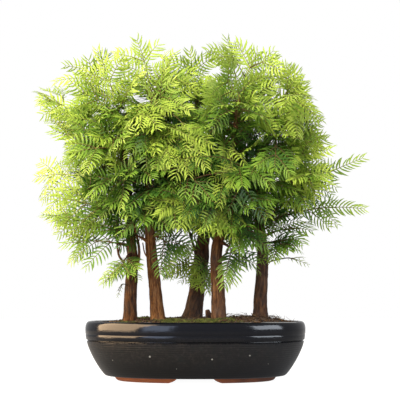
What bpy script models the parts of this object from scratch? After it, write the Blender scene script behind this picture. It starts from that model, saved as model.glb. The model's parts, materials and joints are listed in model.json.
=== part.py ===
"""A dawn redwood forest planting: five young trees standing in soil in an oval glazed tray.

Metres, +Z up. The origin is on the surface that the feet stand on, under the tray's middle.
+X runs along the tray, to the right seen from the front, and the front faces -Y.
"""

import math
import random

import bpy
import numpy as np
from mathutils import Vector

MM = 0.001
UP = Vector((0.0, 0.0, 1.0))

# Clearance between pieces that touch
GAP = 0.3 * MM

# Tray, an oval whose outline is a superellipse
TRAY_LENGTH = 280 * MM
TRAY_DEPTH = 205 * MM
TRAY_HEIGHT = 74 * MM
TRAY_SQUARENESS = 2.25
TRAY_SIDES = 34
WALL = 8 * MM
FLOOR_UNDERSIDE = 6 * MM
FLOOR_THICKNESS = 9 * MM
FLOOR_TOP = FLOOR_UNDERSIDE + FLOOR_THICKNESS
GROOVE_HEIGHT = 50 * MM
GROOVE_WIDTH = 2 * MM
GROOVE_DEPTH = 1.4 * MM
BAND_HEIGHT = 58 * MM
RIM_WIDEST = 66 * MM
RIM_SHOULDER = (1.2 * MM, 71 * MM)
RIM_ROUND = 4 * MM
RIM_INNER_ROUND = 1.5 * MM

# Insets from the rim's outline and heights, up the outside as far as the groove
OUTSIDE = ((29 * MM, FLOOR_UNDERSIDE), (24.5 * MM, 7.6 * MM), (17.2 * MM, 17 * MM),
           (10 * MM, 29 * MM), (4.4 * MM, 41 * MM), (2 * MM, GROOVE_HEIGHT - GROOVE_WIDTH / 2))

# Heights down the inside, where the wall leans in and thickens towards the floor
INSIDE_LEVELS = (TRAY_HEIGHT - 2 * MM, 40 * MM, FLOOR_TOP)
WALL_LEAN = 17 * MM
WALL_CURVE = 1.7

# Feet, two halves of a ring that is open at the front and at the back
FOOT_INSET_TOP = 35 * MM
FOOT_INSET_BOTTOM = 41 * MM
FOOT_WIDTH = 14 * MM
FOOT_WIDER_TOP = 4 * MM
FOOT_GAP_TOP = 23 * MM
FOOT_GAP_BOTTOM = 29 * MM
FOOT_STEPS = 12
FOOT_SUNK = 2 * MM

# How far a cutter runs on past the face that it cuts, and the sides of a round hole
CUT_BEYOND = 3 * MM
HOLE_SIDES = 12

# Drain holes and the plastic mesh squares that lie over them
DRAIN_RADIUS = 8 * MM
DRAIN_FROM_MIDDLE = 62 * MM
MESH_SIDE = 27 * MM
MESH_THICKNESS = 1.2 * MM
MESH_OPENINGS = 3
MESH_BAR = 3 * MM

# Soil, mounded towards the trees
SOIL_AT_WALL = 69 * MM
SOIL_MOUND = 8 * MM
SOIL_BUMP = 1.6 * MM
SOIL_WAVES = ((5, 7), (3, -4))
SOIL_RINGS = (0.88, 0.66, 0.34)
STEM_HOLE_DEPTH = 28 * MM

# Trees: points up each trunk's middle in millimetres, its radius at the soil and at the top in
# millimetres, how far its foot spreads as a share of that radius, and the bearing of its widest root.
TREES = {
    "tree_1": (((-81, -34, 77), (-81, -34, 112), (-79, -34, 150), (-82, -33, 190), (-86, -31, 240),
                (-92, -30, 295), (-101, -30, 345)), 8.5, 2.2, 0.16, 200),
    "tree_2": (((-47, -34, 77), (-50, -34, 112), (-54, -34, 148), (-57, -33, 180), (-59, -30, 230),
                (-58, -28, 290), (-56, -28, 360)), 8.7, 2.2, 0.20, 330),
    "tree_3": (((-3, 36, 77), (0, 36, 101), (3, 35, 125), (8, 35, 167), (11, 36, 190), (9, 38, 240),
                (4, 38, 305), (1, 34, 372)), 11.6, 2.3, 0.42, 185),
    "tree_4": (((29, -37, 77), (28, -37, 119), (26, -37, 150), (28, -36, 172), (36, -34, 197),
                (42, -32, 230), (47, -30, 265), (52, -28, 325), (56, -26, 358)), 9.2, 2.2, 0.14, 20),
    "tree_5": (((82, -4, 77), (83, -4, 101), (85, -4, 125), (86, -4, 160), (84, -3, 190),
                (80, -2, 216), (84, 0, 255), (94, 2, 310), (103, 2, 350)), 9.0, 2.3, 0.36, 340),
}
TRUNK_SIDES = 10
FLARE_HEIGHT = 9 * MM
FLARE_RISES = (3 * MM, 10 * MM, 22 * MM)
FLARE_EVEN, FLARE_ONE_SIDED, FLARE_THREE_ROOTS = 0.55, 0.30, 0.15
TAPER_POWER = 0.95

# Fronds: the tree, the height in millimetres where the branch leaves its trunk, the tip in
# millimetres, how far the branch arches above a straight line as a share of its length, and
# how long the side shoots are as a share of the longest.
FRONDS = {
    "frond_low_left": ("tree_1", 168, (-173, -40, 168), 0.14, 0.6),
    "frond_left": ("tree_1", 178, (-202, -15, 209), 0.12, 0.5),
    "frond_left_front": ("tree_1", 200, (-178, -66, 226), 0.12, 0.6),
    "frond_left_bright": ("tree_1", 236, (-216, 15, 260), 0.18, 0.8),
    "frond_left_high": ("tree_1", 296, (-212, 6, 368), 0.12, 0.9),
    "frond_left_middle": ("tree_1", 266, (-186, -52, 314), 0.12, 0.9),
    "frond_left_top": ("tree_1", 318, (-156, 8, 414), 0.12, 0.9),
    "frond_leader_1": ("tree_1", 345, (-130, -42, 424), 0.25, 0.8),
    "frond_front_1": ("tree_1", 258, (-124, -112, 292), 0.36, 1.0),
    "frond_back_left_1": ("tree_1", 205, (-163, 68, 246), 0.12, 0.9),
    "frond_back_1": ("tree_1", 280, (-137, 86, 336), 0.10, 1.0),
    "frond_tuft_1": ("tree_1", 156, (-92, -82, 128), 0.34, 0.5),
    "frond_leader_2": ("tree_2", 360, (-78, -44, 437), 0.25, 0.8),
    "frond_top_2": ("tree_2", 332, (-24, -18, 426), 0.18, 0.8),
    "frond_front_high_2": ("tree_2", 296, (-46, -116, 300), 0.34, 1.0),
    "frond_front_2": ("tree_2", 258, (22, -128, 212), 0.34, 0.7),
    "frond_front_left_2": ("tree_2", 205, (-104, -116, 208), 0.36, 0.7),
    "frond_low_right_2": ("tree_2", 182, (-20, -62, 148), 0.30, 0.5),
    "frond_back_2": ("tree_2", 236, (-80, 92, 296), 0.12, 1.0),
    "frond_low_left_2": ("tree_2", 172, (-120, -92, 180), 0.22, 0.5),
    "frond_leader_3": ("tree_3", 372, (-10, 20, 440), 0.20, 0.8),
    "frond_top_left_3": ("tree_3", 326, (-30, 92, 416), 0.16, 0.9),
    "frond_top_right_3": ("tree_3", 314, (36, 94, 408), 0.16, 0.9),
    "frond_back_left_3": ("tree_3", 282, (-66, 130, 338), 0.12, 1.0),
    "frond_back_right_3": ("tree_3", 268, (70, 130, 326), 0.12, 1.0),
    "frond_back_3": ("tree_3", 210, (-2, 131, 250), 0.22, 1.0),
    "frond_back_low_left_3": ("tree_3", 188, (-68, 114, 204), 0.22, 0.8),
    "frond_back_low_right_3": ("tree_3", 184, (64, 112, 192), 0.24, 0.8),
    "frond_fan_3": ("tree_3", 174, (-22, 6, 126), 0.36, 0.5),
    "frond_hanging_3": ("tree_3", 164, (16, -14, 104), 0.38, 0.4),
    "frond_leader_4": ("tree_4", 358, (38, -38, 440), 0.20, 0.8),
    "frond_top_right_4": ("tree_4", 340, (84, -38, 422), 0.16, 0.9),
    "frond_front_high_4": ("tree_4", 304, (56, -128, 330), 0.32, 1.0),
    "frond_front_falling_4": ("tree_4", 262, (56, -128, 228), 0.40, 0.9),
    "frond_front_upper_4": ("tree_4", 288, (-10, -106, 300), 0.34, 1.0),
    "frond_front_left_4": ("tree_4", 222, (-47, -112, 196), 0.32, 0.65),
    "frond_front_hanging_4": ("tree_4", 212, (25, -112, 175), 0.34, 0.55),
    "frond_low_right_4": ("tree_4", 172, (60, -66, 136), 0.34, 0.5),
    "frond_hanging_right_4": ("tree_4", 196, (74, -92, 158), 0.34, 0.6),
    "frond_leader_5": ("tree_5", 350, (124, -6, 414), 0.25, 0.8),
    "frond_right_top_5": ("tree_5", 322, (144, -28, 386), 0.16, 0.9),
    "frond_right_falling_5": ("tree_5", 338, (160, -60, 318), 0.58, 0.9),
    "frond_right_middle_5": ("tree_5", 254, (172, -74, 284), 0.18, 1.0),
    "frond_far_right_5": ("tree_5", 218, (219, -40, 282), 0.04, 0.45),
    "frond_far_right_low_5": ("tree_5", 196, (218, -50, 212), 0.16, 0.45),
    "frond_right_low_5": ("tree_5", 180, (152, -50, 184), 0.20, 0.5),
    "frond_tuft_5": ("tree_5", 168, (116, -78, 156), 0.26, 0.45),
    "frond_front_high_5": ("tree_5", 272, (114, -112, 294), 0.34, 1.0),
    "frond_front_5": ("tree_5", 236, (168, -84, 236), 0.30, 0.9),
    "frond_back_high_5": ("tree_5", 300, (146, 84, 356), 0.10, 1.0),
    "frond_back_5": ("tree_5", 216, (158, 92, 262), 0.14, 0.9),
}
BRANCH_RADIUS = 2.3 * MM
BRANCH_END_RADIUS = 1.3 * MM
BRANCH_SIDES = 4
BRANCH_STEPS = 3
BRANCH_SHORTEST = 20 * MM
BRANCH_BENDS = (0.0, 0.08, -0.08, 0.16, -0.16, 0.24, -0.24, 0.32, -0.32)
LEADER_GAP = 0.8 * MM
FROND_LONGEST = 98 * MM
CURVE_POINTS = 60

# Shoots and needles
SHOOT_HALF_WIDTH = 2.2 * MM
SHOOT_HEIGHT = 1.6 * MM
SHOOT_TAKES = 1.8 * MM
SHOOT_TIP_SHARE = 0.5
NEEDLE_LENGTH = 15 * MM
NEEDLE_BASE = 3.3 * MM
NEEDLE_LEAN = math.radians(30)
NEEDLE_TRIES = (1.0, 0.75, 0.5)
NEEDLE_DROOP = 0.08
NEEDLE_SHORTER_ON_SHOOT, NEEDLE_SHORTER_ON_AXIS = 0.25, 0.15
TIP_LENGTH = 7 * MM
BARE_LENGTH_ON_AXIS = 12 * MM
BARE_LENGTH_ON_SHOOT = 12 * MM
BARE_SHARE_LEAST = 0.5
SHOOT_ROOT = 5 * MM
SHOOT_CLEAR_FROM = 7 * MM
SHOOT_ANGLE = math.radians(46)
SHOOT_DROOP = 3.0
SIDE_SHOOTS = 4
SIDE_SHOOT_LONGEST = 62 * MM
SIDE_SHOOT_TAPER = 0.4
SIDE_SHOOT_TRIES = (1.0, 0.8, 0.62, 0.45)
SIDE_SHOOT_LEAST = 20 * MM
CROWN_HALF_WIDTH, CROWN_HALF_DEPTH = 210 * MM, 124 * MM
LEAF_PLANE_RISE = 0.55
LEAF_PLANE_FACING = 0.85
LEAF_PLANE_JITTER = 0.25
BACK_BEGINS = 18 * MM
SEED = 7

# Room that a needle, a shoot and a branch keep to what doesn't belong to them
NEEDLE_ROOM = 1.5 * MM
NEEDLE_THICK = 0.9 * MM
SHOOT_ROOM = 3.0 * MM
BRANCH_ROOM = 3.2 * MM
SAMPLE_STEP = 3 * MM


def clear_scene():
    for thing in list(bpy.data.objects):
        bpy.data.objects.remove(thing, do_unlink=True)


def principled(name, colour, roughness, metallic=0.0):
    material = bpy.data.materials.new(name)
    material.use_nodes = True
    shader = material.node_tree.nodes["Principled BSDF"]
    shader.inputs["Base Color"].default_value = (*colour, 1.0)
    shader.inputs["Roughness"].default_value = roughness
    shader.inputs["Metallic"].default_value = metallic
    material.diffuse_color = (*colour, 1.0)
    return material


def add_object(name, points, faces, material):
    mesh = bpy.data.meshes.new(name)
    mesh.from_pydata([tuple(p) for p in points], [], faces)
    mesh.update()
    thing = bpy.data.objects.new(name, mesh)
    thing.data.materials.append(material)
    bpy.context.scene.collection.objects.link(thing)
    return thing


def remove_object(thing):
    mesh = thing.data
    bpy.data.objects.remove(thing, do_unlink=True)
    bpy.data.meshes.remove(mesh)


def apply_modifiers(thing):
    graph = bpy.context.evaluated_depsgraph_get()
    baked = bpy.data.meshes.new_from_object(thing.evaluated_get(graph))
    old = thing.data
    thing.modifiers.clear()
    thing.data = baked
    baked.name = thing.name
    bpy.data.meshes.remove(old)


def combine(thing, others, operation, solver="EXACT"):
    """Joins the others to thing, or cuts them from it, and removes them."""
    group = bpy.data.collections.new("working")
    bpy.context.scene.collection.children.link(group)
    for other in others:
        group.objects.link(other)
    boolean = thing.modifiers.new("combine", "BOOLEAN")
    boolean.operation = operation
    boolean.solver = solver
    boolean.operand_type = "COLLECTION"
    boolean.collection = group
    bpy.context.view_layer.update()
    apply_modifiers(thing)
    for other in others:
        remove_object(other)
    bpy.data.collections.remove(group)


def oval(half_x, half_y, height, count=TRAY_SIDES):
    """Points round a superellipse, anticlockwise seen from above."""
    power = 2 / TRAY_SQUARENESS
    points = []
    for step in range(count):
        angle = 2 * math.pi * step / count
        c, s = math.cos(angle), math.sin(angle)
        x = math.copysign(abs(c) ** power, c) * half_x
        y = math.copysign(abs(s) ** power, s) * half_y
        points.append(Vector((x, y, height)))
    return points


def circle(middle, radius, count):
    """Points round a level circle, anticlockwise seen from above."""
    turns = (2 * math.pi * step / count for step in range(count))
    return [middle + Vector((radius * math.cos(turn), radius * math.sin(turn), 0)) for turn in turns]


def loft(rings):
    """Points and triangles of a closed skin over rings that run upwards, each anticlockwise from above."""
    count = len(rings[0])
    points = [p for ring in rings for p in ring]
    faces = []
    for level in range(len(rings) - 1):
        low, high = level * count, (level + 1) * count
        for i in range(count):
            j = (i + 1) % count
            faces.append((low + i, low + j, high + j))
            faces.append((low + i, high + j, high + i))
    points.append(sum(rings[0], Vector()) / count)
    faces += [(len(points) - 1, (i + 1) % count, i) for i in range(count)]
    points.append(sum(rings[-1], Vector()) / count)
    top = (len(rings) - 1) * count
    faces += [(len(points) - 1, top + i, top + (i + 1) % count) for i in range(count)]
    return points, faces


def tray_ring(inset, height):
    return oval(TRAY_LENGTH / 2 - inset, TRAY_DEPTH / 2 - inset, height)


def wall_inset(height):
    """How far the tray's inner wall lies inside the rim's outline at a height."""
    deep = INSIDE_LEVELS[0] - FLOOR_TOP
    insets = [WALL + WALL_LEAN * (1 - (level - FLOOR_TOP) / deep) ** WALL_CURVE
              for level in INSIDE_LEVELS]
    return float(np.interp(height, INSIDE_LEVELS[::-1], insets[::-1]))


def tray_profile():
    """Insets and heights from the underside, up the outside, over the rim and down the inside."""
    below, above = OUTSIDE[-1][0], OUTSIDE[-1][0] / 2
    groove = [(below + GROOVE_DEPTH, GROOVE_HEIGHT), (above, GROOVE_HEIGHT + GROOVE_WIDTH / 2)]
    band = [(above / 4, BAND_HEIGHT), (0.0, RIM_WIDEST)]
    lip = [RIM_SHOULDER, (RIM_ROUND, TRAY_HEIGHT), (WALL - RIM_INNER_ROUND, TRAY_HEIGHT)]
    inside = [(wall_inset(height), height) for height in INSIDE_LEVELS]
    return [*OUTSIDE, *groove, *band, *lip, *inside]


def foot(side):
    """One half of the foot ring: side is -1 for the left and 1 for the right."""
    power = 2 / TRAY_SQUARENESS
    rings = []
    corners = (
        (FOOT_INSET_TOP, FLOOR_UNDERSIDE + FOOT_SUNK, FOOT_GAP_TOP),
        (FOOT_INSET_BOTTOM, 0.0, FOOT_GAP_BOTTOM),
        (FOOT_INSET_BOTTOM + FOOT_WIDTH, 0.0, FOOT_GAP_BOTTOM),
        (FOOT_INSET_TOP + FOOT_WIDTH + FOOT_WIDER_TOP, FLOOR_UNDERSIDE + FOOT_SUNK, FOOT_GAP_TOP),
    )
    for step in range(FOOT_STEPS + 1):
        ring = []
        for inset, height, gap in corners:
            half_x, half_y = TRAY_LENGTH / 2 - inset, TRAY_DEPTH / 2 - inset
            end = math.acos((gap / half_x) ** (1 / power))
            angle = -end + 2 * end * step / FOOT_STEPS
            c, s = math.cos(angle), math.sin(angle)
            x = side * c ** power * half_x
            y = side * math.copysign(abs(s) ** power, s) * half_y
            ring.append(Vector((x, y, height)))
        rings.append(ring)
    return loft(rings)


def build_tray(material):
    rings = [tray_ring(inset, height) for inset, height in tray_profile()]
    points, faces = loft(rings)
    tray = add_object("tray", points, faces, material)
    feet = []
    for side in (-1, 1):
        points, faces = foot(side)
        feet.append(add_object(f"foot{side}", points, faces, material))
    combine(tray, feet, "UNION")
    holes = []
    for side in (-1, 1):
        middle = Vector((side * DRAIN_FROM_MIDDLE, 0.0, 0.0))
        low = circle(middle + UP * (FLOOR_UNDERSIDE - CUT_BEYOND), DRAIN_RADIUS, HOLE_SIDES)
        high = circle(middle + UP * (FLOOR_TOP + CUT_BEYOND), DRAIN_RADIUS, HOLE_SIDES)
        points, faces = loft([low, high])
        holes.append(add_object(f"hole{side}", points, faces, material))
    combine(tray, holes, "DIFFERENCE")
    return tray


def box(middle, size, name, material):
    low, high = middle - size / 2, middle + size / 2
    ring = [(low.x, low.y), (high.x, low.y), (high.x, high.y), (low.x, high.y)]
    rings = [[Vector((x, y, z)) for x, y in ring] for z in (low.z, high.z)]
    points, faces = loft(rings)
    return add_object(name, points, faces, material)


def build_drain_mesh(name, side, material):
    middle = Vector((side * DRAIN_FROM_MIDDLE, 0.0, FLOOR_TOP + GAP + MESH_THICKNESS / 2))
    plate = box(middle, Vector((MESH_SIDE, MESH_SIDE, MESH_THICKNESS)), name, material)
    opening = (MESH_SIDE - MESH_BAR * (MESH_OPENINGS + 1)) / MESH_OPENINGS
    pitch = opening + MESH_BAR
    cutters = []
    for row in range(MESH_OPENINGS):
        for column in range(MESH_OPENINGS):
            shift = Vector((column - 1, row - 1, 0)) * pitch
            size = Vector((opening, opening, 3 * MESH_THICKNESS))
            cutters.append(box(middle + shift, size, f"cut{row}{column}", material))
    combine(plate, cutters, "DIFFERENCE")
    return plate


def soil_height(share, angle):
    """Height of the soil at a share of the way from the middle to the wall."""
    bump = math.prod(math.sin(turns * angle + inward * share) for turns, inward in SOIL_WAVES)
    return SOIL_AT_WALL + SOIL_MOUND * (1 - share ** 3) + SOIL_BUMP * bump * (1 - share)


def build_soil(material, stem_radii):
    rings = [tray_ring(wall_inset(FLOOR_TOP) + GAP, FLOOR_TOP + GAP)]
    for height in (*INSIDE_LEVELS[-2:0:-1], SOIL_AT_WALL):
        rings.append(tray_ring(wall_inset(height) + GAP, height))
    edge = rings[-1]
    for share in SOIL_RINGS:
        ring = []
        for i, point in enumerate(edge):
            height = soil_height(share, 2 * math.pi * i / TRAY_SIDES)
            ring.append(Vector((point.x * share, point.y * share, height)))
        rings.append(ring)
    points, faces = loft(rings)
    points[-1].z = soil_height(0.0, 0.0)
    soil = add_object("soil", points, faces, material)
    cutters = []
    for name, (path, *_rest) in TREES.items():
        foot_middle = Vector(path[0]) * MM
        radius = (stem_radii[name] + GAP) / math.cos(math.pi / HOLE_SIDES)
        low = circle(foot_middle - UP * STEM_HOLE_DEPTH, radius, HOLE_SIDES)
        high = circle(foot_middle + UP * 2 * SOIL_MOUND, radius, HOLE_SIDES)
        points, faces = loft([low, high])
        cutters.append(add_object(f"cut_{name}", points, faces, material))
    for side in (-1, 1):
        middle = Vector((side * DRAIN_FROM_MIDDLE, 0.0, FLOOR_TOP + GAP + MESH_THICKNESS / 2))
        size = Vector((MESH_SIDE, MESH_SIDE, MESH_THICKNESS)) + Vector((2, 2, 2)) * GAP
        cutters.append(box(middle, size, f"cut_mesh{side}", material))
    combine(soil, cutters, "DIFFERENCE")
    return soil


def smooth_point(path, place):
    """A point on the smooth curve through path, place running from 0 to its last index."""
    index = min(int(place), len(path) - 2)
    t = place - index
    p1, p2 = path[index], path[index + 1]
    p0 = path[index - 1] if index else p1 * 2 - p2
    p3 = path[index + 2] if index + 2 < len(path) else p2 * 2 - p1
    return 0.5 * (2 * p1 + (p2 - p0) * t + (2 * p0 - 5 * p1 + 4 * p2 - p3) * t ** 2
                  + (3 * p1 - p0 - 3 * p2 + p3) * t ** 3)


def trunk_path(name):
    return [Vector(point) * MM for point in TREES[name][0]]


def trunk_at(name, height):
    """The middle of a trunk at a height."""
    path = trunk_path(name)
    for index in range(len(path) - 1):
        if path[index].z <= height <= path[index + 1].z:
            share = (height - path[index].z) / (path[index + 1].z - path[index].z)
            return smooth_point(path, index + share)
    return path[-1]


def trunk_radius(name, height):
    """The radius of a trunk at a height, without the spread of its foot."""
    path, base, top = TREES[name][:3]
    low, high = path[0][2] * MM, path[-1][2] * MM
    share = max(0.0, min(1.0, (height - low) / (high - low)))
    return (base + (top - base) * share ** TAPER_POWER) * MM


def flare_radius(name, angle, height):
    """The radius of a trunk with the roots that its foot spreads into."""
    path, _base, _top, spread, bearing = TREES[name]
    above = max(0.0, height - path[0][2] * MM)
    falling = math.exp(-above / FLARE_HEIGHT)
    turn = angle - math.radians(bearing)
    roots = FLARE_EVEN + FLARE_ONE_SIDED * math.cos(turn) + FLARE_THREE_ROOTS * math.cos(3 * turn)
    return trunk_radius(name, height) * (1 + spread * falling * roots)


def build_trunk(name, material):
    path = trunk_path(name)
    base = path[0]
    turns = [2 * math.pi * step / TRUNK_SIDES for step in range(TRUNK_SIDES)]
    buried = max(flare_radius(name, turn, base.z) for turn in turns)
    rings = [circle(base - UP * depth, buried, TRUNK_SIDES) for depth in (STEM_HOLE_DEPTH - GAP, GAP)]
    heights = [base.z + rise for rise in FLARE_RISES] + [point.z for point in path[2:]]
    for height in heights:
        middle = trunk_at(name, height)
        rings.append([middle + Vector((math.cos(turn), math.sin(turn), 0)) * flare_radius(name, turn, height)
                      for turn in turns])
    points, faces = loft(rings)
    return add_object(name, points, faces, material), buried


def frond_curve(name, bend=0.0):
    """A function from 0 to 1 along a branch and its frond, bent sideways by a share of its length."""
    tree, leaves_at, tip, arch, _spread = FRONDS[name]
    start = trunk_at(tree, leaves_at * MM)
    end = Vector(tip) * MM
    straight = end - start
    across = straight.cross(UP)
    across = across.normalized() if across.length > 1 * MM else Vector((1, 0, 0))
    control = (start + end) / 2 + UP * arch * straight.length + across * bend * straight.length

    def at(t):
        return start * (1 - t) ** 2 + control * 2 * t * (1 - t) + end * t ** 2

    return at


def measured(at):
    """Close points along a curve and the length up to each of them."""
    points = [at(i / CURVE_POINTS) for i in range(CURVE_POINTS + 1)]
    lengths = [0.0]
    for a, b in zip(points, points[1:]):
        lengths.append(lengths[-1] + (b - a).length)
    return points, lengths


def at_length(points, lengths, length):
    index = int(np.searchsorted(lengths, length, side="right")) - 1
    index = max(0, min(index, len(points) - 2))
    share = (length - lengths[index]) / (lengths[index + 1] - lengths[index])
    return points[index].lerp(points[index + 1], max(0.0, min(1.0, share)))


class Room:
    """The space that is taken: points with a radius, the piece and the shoot that each belongs to."""

    def __init__(self):
        self.places, self.radii, self.pieces, self.shoots = [], [], [], []
        self.arrays = None

    def take(self, points, radius, piece, shoot):
        for point in points:
            self.places.append(tuple(point))
            self.radii.append(radius)
            self.pieces.append(piece)
            self.shoots.append(shoot)
        self.arrays = None

    def is_free(self, points, room, piece=None, shoot=None):
        """True where the points keep their room to all but the piece or the shoot that is named."""
        if not self.places:
            return True
        if self.arrays is None:
            self.arrays = (np.array(self.places), np.array(self.radii), np.array(self.pieces),
                           np.array(self.shoots))
        places, radii, pieces, shoots = self.arrays
        others = np.ones(len(places), bool)
        if piece is not None:
            others &= pieces != piece
        if shoot is not None:
            others &= shoots != shoot
        tested = np.array([tuple(point) for point in points])
        away = np.linalg.norm(places[others][:, None] - tested[None], axis=2)
        return bool((away > radii[others][:, None] + room).all())


def sampled(a, b, first=0.0):
    """Points along a straight line, from a share of its length on."""
    count = max(2, int((b - a).length / SAMPLE_STEP) + 1)
    return [a.lerp(b, first + (1 - first) * i / count) for i in range(count + 1)]


def is_leader(name):
    """True for the frond that goes on from the top of a trunk, with no branch of its own."""
    return "leader" in name


def plan_branches(room):
    """Chooses each branch's sideways bend, so that it passes clear of what stands there already."""
    for tree in TREES:
        low = trunk_path(tree)[0].z
        high = trunk_path(tree)[-1].z
        for step in range(int((high - low) / SAMPLE_STEP)):
            height = low + step * SAMPLE_STEP
            room.take([trunk_at(tree, height)], trunk_radius(tree, height), tree, tree)
    plans = {}
    for name, (tree, *_rest) in FRONDS.items():
        for bend in BRANCH_BENDS:
            points, lengths = measured(frond_curve(name, bend))
            woody = 0.0 if is_leader(name) else max(BRANCH_SHORTEST, lengths[-1] - FROND_LONGEST)
            wood = [p for p, at in zip(points, lengths) if at <= woody]
            green = [p for p, at in zip(points, lengths) if at > woody]
            clear = room.is_free(wood, BRANCH_ROOM, piece=tree) and room.is_free(green, BRANCH_ROOM)
            if clear or is_leader(name):
                break
        else:
            print("no clear way for", name)
        plans[name] = (points, lengths, woody)
        room.take(wood, BRANCH_RADIUS, tree, tree)
        room.take(green, SHOOT_HALF_WIDTH, name, name)
    return plans


def branch_tube(name, plan, material):
    points, lengths, woody = plan
    rings = []
    for step in range(BRANCH_STEPS + 1):
        at = woody * step / BRANCH_STEPS
        middle = at_length(points, lengths, at)
        along = (at_length(points, lengths, at + 2 * MM) - middle).normalized()
        across = along.cross(UP)
        across = across.normalized() if across.length > 0.05 else Vector((1, 0, 0))
        over = across.cross(along)
        radius = BRANCH_RADIUS + (BRANCH_END_RADIUS - BRANCH_RADIUS) * step / BRANCH_STEPS
        ring = []
        for i in range(BRANCH_SIDES):
            angle = 2 * math.pi * i / BRANCH_SIDES
            ring.append(middle + (over * math.cos(angle) - across * math.sin(angle)) * radius)
        rings.append(ring)
    points, faces = loft([ring[::-1] for ring in rings])
    return add_object(f"branch_{name}", points, faces, material)


def leaf_plane(middle, along, draw):
    """The direction that a frond's upper side faces."""
    front = -1.0 if middle.y < BACK_BEGINS else 1.0
    facing = Vector((LEAF_PLANE_JITTER * math.copysign(1.0, middle.x), front, 0.0)).normalized()
    jitter = Vector([draw.uniform(-LEAF_PLANE_JITTER, LEAF_PLANE_JITTER) for _axis in range(3)])
    wanted = UP * LEAF_PLANE_RISE + facing * LEAF_PLANE_FACING + jitter
    return (wanted - along * wanted.dot(along)).normalized()


class Shoot:
    """A shoot as the stations that its rings lie at, each with what the stretch up to it carries."""

    def __init__(self, tag, points, plane, kinds):
        self.tag, self.points, self.kinds = tag, points, kinds
        self.along, self.planes = [], []
        for i, point in enumerate(points):
            ahead = points[min(i + 1, len(points) - 1)]
            behind = points[max(i - 1, 0)]
            along = (ahead - behind).normalized()
            self.along.append(along)
            self.planes.append((plane - along * plane.dot(along)).normalized())
        self.needles = {}
        self.children = {}


def stations(length, root, bare, at):
    """Points along a curve with a short stretch for each pair of needles, and the kind of each stretch."""
    reached, points, kinds = root, [at(root)], []
    while reached + NEEDLE_BASE + TIP_LENGTH <= length:
        reached += NEEDLE_BASE
        points.append(at(reached))
        kinds.append("needles")
        if reached + bare + NEEDLE_BASE + TIP_LENGTH > length:
            break
        reached += bare
        points.append(at(reached))
        kinds.append("bare")
    return points, kinds


def bare_share(name):
    """How long the bare stretches of a frond are, as a share of those of the largest."""
    return max(BARE_SHARE_LEAST, FRONDS[name][4])


def plan_axis(name, plan, draw):
    points, lengths, woody = plan
    bare = BARE_LENGTH_ON_AXIS * bare_share(name)
    begin = woody + (LEADER_GAP if is_leader(name) else GAP)
    length = lengths[-1] - begin

    def at(distance):
        return at_length(points, lengths, begin + distance)

    reached, places, kinds = 0.0, [at(0.0)], []
    while reached + bare + NEEDLE_BASE + TIP_LENGTH <= length:
        reached += bare
        places.append(at(reached))
        kinds.append("bare")
        reached += NEEDLE_BASE
        places.append(at(reached))
        kinds.append("needles")
    along = (places[-1] - places[0]).normalized()
    plane = leaf_plane(places[len(places) // 2], along, draw)
    axis = Shoot(name, places, plane, kinds)
    axis.tip = points[-1]
    return axis


def in_crown(point):
    return abs(point.x) < CROWN_HALF_WIDTH and abs(point.y) < CROWN_HALF_DEPTH


def plan_side_shoots(name, axis, room):
    """Side shoots from the axis's bare stretches, left and right in turn, longest near the middle."""
    bare = [i for i, kind in enumerate(axis.kinds) if kind == "bare"]
    slots = []
    for order, stretch in enumerate(bare):
        for side in (-1, 1):
            slots.append((stretch, side, order))
    wanted = [slot for slot in slots if (slot[2] + (slot[1] > 0)) % 2 == 0]
    if len(wanted) > SIDE_SHOOTS:
        wanted = wanted[-SIDE_SHOOTS - 1:-1]
    shoots = []
    for stretch, side, order in wanted:
        share = order / max(1, len(bare) - 1)
        start = (axis.points[stretch] + axis.points[stretch + 1]) / 2
        along, plane = axis.along[stretch], axis.planes[stretch]
        across = along.cross(plane) * side
        way = along * math.cos(SHOOT_ANGLE) + across * math.sin(SHOOT_ANGLE)
        longest = SIDE_SHOOT_LONGEST * FRONDS[name][4] * (1 - SIDE_SHOOT_TAPER * share)
        for length in (max(SIDE_SHOOT_LEAST, longest * size) for size in SIDE_SHOOT_TRIES):
            def at(distance, start=start, way=way):
                return start + way * distance - UP * SHOOT_DROOP * distance ** 2

            way_out = sampled(at(SHOOT_CLEAR_FROM), at(length))
            if in_crown(at(length)) and room.is_free(way_out, SHOOT_ROOM, shoot=name):
                places, kinds = stations(length, SHOOT_ROOT, BARE_LENGTH_ON_SHOOT * bare_share(name), at)
                if not kinds:
                    continue
                tag = f"{name}/{len(shoots)}"
                shoot = Shoot(tag, places, plane, kinds)
                shoot.tip = at(length)
                room.take(sampled(at(SHOOT_ROOT), places[-1]), SHOOT_TAKES, name, tag)
                room.take(sampled(places[-1], shoot.tip), NEEDLE_THICK, name, tag)
                axis.children[(stretch, side)] = shoot
                shoots.append(shoot)
                break
    return shoots


def plan_needles(name, shoot, room, last_share):
    """Needles in pairs, each as long as the room allows."""
    count = len(shoot.kinds)
    for stretch, kind in enumerate(shoot.kinds):
        if kind != "needles":
            continue
        middle = (shoot.points[stretch] + shoot.points[stretch + 1]) / 2
        along, plane = shoot.along[stretch], shoot.planes[stretch]
        share = stretch / max(1, count - 1)
        full = NEEDLE_LENGTH * (1 - last_share * share ** 3)
        for side in (-1, 1):
            across = along.cross(plane) * side
            way = across * math.cos(NEEDLE_LEAN) + along * math.sin(NEEDLE_LEAN) - plane * NEEDLE_DROOP
            for size in NEEDLE_TRIES:
                tip = middle + way.normalized() * full * size
                line = sampled(middle, tip, first=0.3)
                if room.is_free(line, NEEDLE_ROOM, shoot=shoot.tag):
                    room.take(line, NEEDLE_THICK, name, shoot.tag)
                    shoot.needles[(stretch, side)] = tip
                    break


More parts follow.
